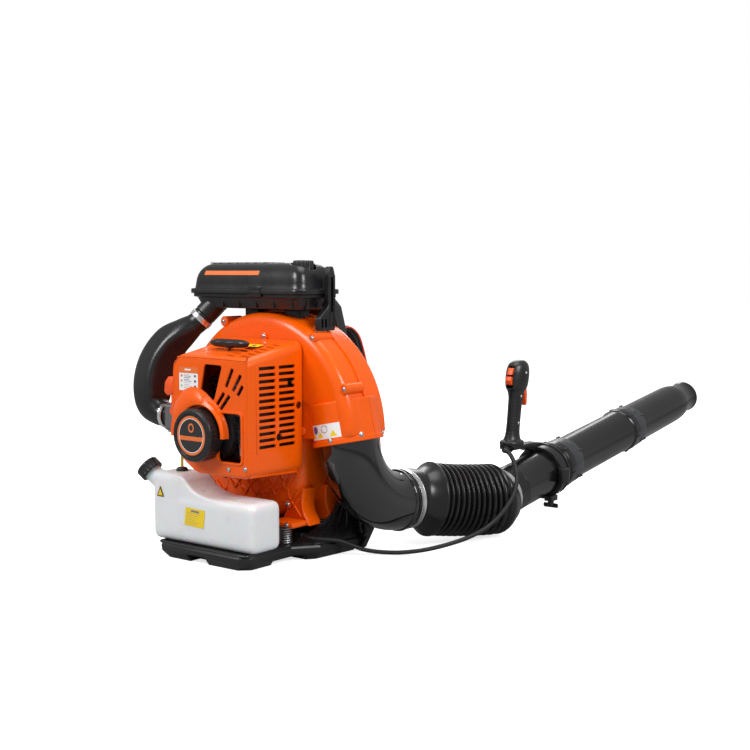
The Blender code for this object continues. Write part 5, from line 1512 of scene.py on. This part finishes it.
def make_strap(name, side):
    """A padded shoulder strap: a crowned body, piped edges and rows of stitches."""
    count = 140
    points = strap_line(side, count)
    frames = [strap_frame(points, i) for i in range(count)]
    rings = []
    halves = []
    for i, point in enumerate(points):
        share = i / (count - 1)
        swell = min(1.0, share * 6, (1 - share) * 5)
        swell = swell * swell * (3 - 2 * swell)
        half = (0.014 + 0.036 * swell) / 2
        depth = (0.0038 + 0.0082 * swell) / 2
        quilt = 1.0 - 0.16 * max(0.0, math.cos(TAU * share * 9)) ** 14 * (swell > 0.9)
        across, normal = frames[i]
        row = []
        for k in range(36):
            angle = TAU * k / 36
            x = half * blunt(math.cos(angle), 0.55)
            crown = depth * quilt * (0.42 + 0.58 * (1 - (x / half) ** 2) ** 0.5)
            row.append(point + across * x + normal * crown * blunt(math.sin(angle), 0.7))
        rings.append(row)
        halves.append((half, depth * 0.9 + 0.0002))
    stand_in(name, "pad_" + name, loft(rings), "fabric", sharp=70)
    parts = []
    stitches = []
    for edge in (1, -1):
        line = [points[i] + frames[i][0] * edge * (halves[i][0] - 0.0002) for i in range(6, count - 6)]
        parts.append(swept(line, [0.0016] * len(line), sides=10))
        for i in range(10, count - 10, 2):
            across, normal = frames[i]
            half, rise = halves[i]
            spots = [points[i].lerp(points[i + 1], k) + across * edge * (half - 0.005) - normal * rise
                     for k in (0, 0.6, 1.2)]
            stitches.append(swept(spots, [0.00035] * 3, sides=6))
            stitches.append(swept([p + normal * 2 * rise for p in spots], [0.00035] * 3, sides=6))
    detail("edge_" + name, merged(*parts), "piping", sharp=80)
    detail("stitch_" + name, merged(*stitches), "grey_ink", sharp=80)


def make_webbing(name, side):
    """The lower band of a strap and the buckle that it runs through."""
    x = 0.098 * side
    route = ((0.163, 0.0385), (0.162, 0.029), (0.152, 0.023), (0.138, 0.025), (0.1245, 0.034))
    points = smooth_line([(x, y, z) for y, z in route], 60)
    rings = []
    for i, point in enumerate(points):
        across, normal = strap_frame(points, i)
        row = []
        for k in range(40):
            angle = TAU * k / 40
            half = 0.0125 * blunt(math.cos(angle), 0.45)
            rib = 1.0 + 0.1 * math.cos(half * 4200)
            row.append(point + across * half + normal * 0.0014 * rib * blunt(math.sin(angle), 0.5))
        rings.append(row)
    stand_in(name, "band_" + name, loft(rings), "webbing", sharp=70)
    outer = rounded((x - 0.016, 0.04), (x + 0.016, 0.07), 0.005)
    inner = rounded((x - 0.0128, 0.0445), (x + 0.0128, 0.0655), 0.003)
    parts = [bezel(outer, inner, 0.16, 0.1665, 0.1675, 0.0008, 0.0008)]
    for z in (0.0495, 0.056):
        parts.append(rod((x - 0.0135, 0.1637, z), (x + 0.0135, 0.1637, z), 0.002, 20))
    buckle = "strap_buckle_" + ("right" if side > 0 else "left")
    stand_in(buckle, "slider_" + name, merged(*parts), "black", sharp=38)


# ---------------------------------------------------------------- handle

def make_handle():
    base, top = Vector((0.225, 0.455, 0.1513)), Vector((0.225, 0.478, 0.309))
    sections = ((0.000, 0.0215, 0.025), (0.03, 0.0218, 0.0253), (0.045, 0.0205, 0.024),
                (0.062, 0.0155, 0.0192),
                (0.12, 0.0126, 0.0168), (0.2, 0.0118, 0.016), (0.3, 0.0116, 0.016), (0.45, 0.0118, 0.0165),
                (0.56, 0.0122, 0.0172), (0.63, 0.0142, 0.0204), (0.68, 0.0182, 0.025), (0.76, 0.0198, 0.027),
                (0.86, 0.0196, 0.0268), (0.93, 0.018, 0.024), (0.965, 0.0152, 0.0202), (0.99, 0.0112, 0.0146),
                (1.000, 0.007, 0.009))
    rings = []
    for share, half_x, half_y in smooth_line(sections, 110):
        centre = base.lerp(top, share)
        row = []
        for k in range(72):
            angle = TAU * k / 72
            groove = 1.0
            if 0.14 < share < 0.58 and abs(math.sin(angle)) > 0.55:
                groove = 1.0 - 0.018 * (0.5 + 0.5 * math.cos(share * TAU * 24))
            row.append(centre + Vector((half_x * math.cos(angle) * groove, half_y * math.sin(angle) * groove,
                                        0)))
        rings.append(row)
    bm = loft(rings)
    for low, high, bevel in (((0.2188, 0.472, 0.212), (0.2312, 0.518, 0.269), 0.0012),
                             ((0.2188, 0.425, 0.258), (0.2312, 0.465, 0.299), 0.0012),
                             ((0.2247, 0.4, 0.1), (0.2253, 0.4385, 0.4), 0)):
        bm = cut(bm, block(low, high, bevel))
    detail("grip_handle", bm, "black", "tube", 36, ("handle_shell_right", "handle_shell_left"))
    spots = ((0.2366, 0.4605, 0.192), (0.2374, 0.4675, 0.242), (0.2442, 0.4735, 0.286))
    screws("handle_screws", "tube", [(spot, (1, 0, 0), 0.0026) for spot in spots])


def make_handle_bracket():
    stand_in("handle_bracket", "bracket_skin", eased(copied("handle_bracket"), 0.001, 2, 30), "black", "tube",
             38)
    parts = []
    for shift in (-0.0125, 0.0125):
        profile = [(0.0494, shift - 0.0016), (0.051, shift - 0.0012), (0.051, shift + 0.0012),
                   (0.0494, shift + 0.0016)]
        parts.append(turned(profile, tube_at(0.53), TUBE_AXIS, 96))
    detail("bracket_ribs", merged(*parts), "black", "tube", 50)
    profile = [(0.0043, 0.0), (0.0058, 0.0), (0.0062, 0.001), (0.0062, 0.0085), (0.0054, 0.012),
               (0.0043, 0.012)]
    detail("cable_sleeve", turned(profile, (0.23, 0.4215, 0.14475), (0, 1, 0), 40), "rubber", "tube", 40)


def make_controls():
    """The small controls: the CAD's own shapes with their edges rounded by a width."""
    controls = (("throttle_trigger", "trigger_skin", "orange_matt", "trigger", 0.0014),
                ("stop_switch", "stop_skin", "orange_matt", "stop_switch", 0.0009),
                ("cruise_lever", "cruise_skin", "orange_matt", "cruise_lever", 0.0009),
                ("clamp_wing", "wing_skin", "black", "clamp_wing", 0.0008),
                ("choke_lever", "choke_skin", "orange_matt", "choke_lever", 0.0009))
    for node, name, material, body, width in controls:
        stand_in(node, name, eased(copied(node), width, 3, 28), material, body, 40)


def make_choke_tab():
    """The thumb tab that stands out sideways from the choke lever."""
    outline = soft_corners([(-0.104, 0.27), (-0.118, 0.266), (-0.126, 0.272), (-0.124, 0.288),
                            (-0.115, 0.299), (-0.103, 0.297)],
                           0.003, 4)
    tab = layered(outline, "Y", ((-0.0952, 0.001), (-0.0944, 0.0), (-0.0886, 0.0), (-0.0878, 0.001)))
    detail("choke_tab", tab, "orange_matt", "choke_lever", 40)


# ---------------------------------------------------------------- the other CAD pieces

COATS = {
    "black": ("impeller", "starter_pulley"),
    "rubber": ("fuel_grommet", "spark_plug"),
    "alloy": ("crankshaft", "flywheel", "crankcase", "cylinder", "piston", "carburetor"),
    "steel": ("muffler",), "amber": ("fuel_line", "primer_bulb"), "foam": ("air_filter",),
}


def coat_rest():
    """Every CAD piece that still shows gets its own procedural surface."""
    for key, names in COATS.items():
        for name in names:
            mesh = NODES[name].data
            mesh.materials.clear()
            mesh.materials.append(M[key])


def camera_level(tree, low, high, socket):
    """Feeds a socket with high for what the camera sees directly and low for all other light."""
    seen = tree.nodes.new("ShaderNodeLightPath").outputs["Is Camera Ray"]
    level = tree.nodes.new("ShaderNodeMapRange")
    level.inputs["To Min"].default_value = low
    level.inputs["To Max"].default_value = high
    tree.links.new(seen, level.inputs["Value"])
    tree.links.new(level.outputs["Result"], socket)
    return seen


def make_floor():
    """A white floor that looks bright but throws little light back on the object."""
    material = surface("floor", (236, 236, 236), 0.85, 300, 0.02, 0.01, 0.0, 0.04,
                       Emission_Color=(1.0, 1.0, 1.0, 1.0))
    tree = material.node_tree
    shader = tree.nodes["Principled BSDF"]
    seen = camera_level(tree, 0.02, 0.72, shader.inputs["Emission Strength"])
    tint = tree.nodes.new("ShaderNodeMix")
    tint.data_type = "RGBA"
    tint.inputs[6].default_value = (0.3, 0.3, 0.3, 1.0)
    tree.links.new(seen, tint.inputs[0])
    tree.links.new(shader.inputs["Base Color"].links[0].from_socket, tint.inputs[7])
    tree.links.new(tint.outputs[2], shader.inputs["Base Color"])
    bm = bmesh.new()
    bmesh.ops.create_grid(bm, x_segments=8, y_segments=8, size=14.0)
    bmesh.ops.translate(bm, vec=(0, 0, -0.0005), verts=bm.verts)
    M["floor"] = material
    finished("floor", bm, "floor", None)


# ---------------------------------------------------------------- stage

def make_stage():
    make_floor()
    world = bpy.data.worlds.new("studio")
    world.use_nodes = True
    glow = world.node_tree.nodes["Background"]
    glow.inputs["Color"].default_value = (1, 1, 1, 1)
    camera_level(world.node_tree, 0.44, 1.0, glow.inputs["Strength"])
    SCENE.world = world
    lamps = (("key", (-0.9, -2.3, 2.2), 1.2, 62), ("side", (2.4, -0.2, 1.9), 1.0, 46),
             ("top", (0.2, 0.4, 2.8), 1.6, 26), ("back", (-1.2, 2.2, 1.6), 1.2, 18))
    for name, place, size, power in lamps:
        light = bpy.data.lights.new(name, "AREA")
        light.size = size
        light.energy = power
        holder = bpy.data.objects.new(name, light)
        SCENE.collection.objects.link(holder)
        holder.location = place
        holder.rotation_euler = (Vector((0.1, 0.2, 0.22)) - Vector(place)).to_track_quat("-Z", "Y").to_euler()
    SCENE.view_settings.view_transform = "Standard"


for make in (make_camera, make_cable, make_tube_lugs, make_elbow, make_bellows, make_clamps, make_tubes,
             make_duct, make_cover_shade_sheets, make_housing_front, make_housing_rear, make_housing_lip,
             make_lattice, make_collar_label, make_cover, make_cover_details, make_starter, make_grip,
             make_skirts, make_base, make_springs, make_tank, make_cap, make_air_cleaner, make_knob,
             make_bracket, make_back_plate, make_back_pad):
    make()
for side_name, sign in SIDES:
    make_strap("shoulder_strap_" + side_name, sign)
for side_name, sign in SIDES:
    make_webbing("strap_webbing_" + side_name, sign)
for make in (make_handle, make_handle_bracket, make_controls, make_choke_tab, coat_rest, make_stage):
    make()
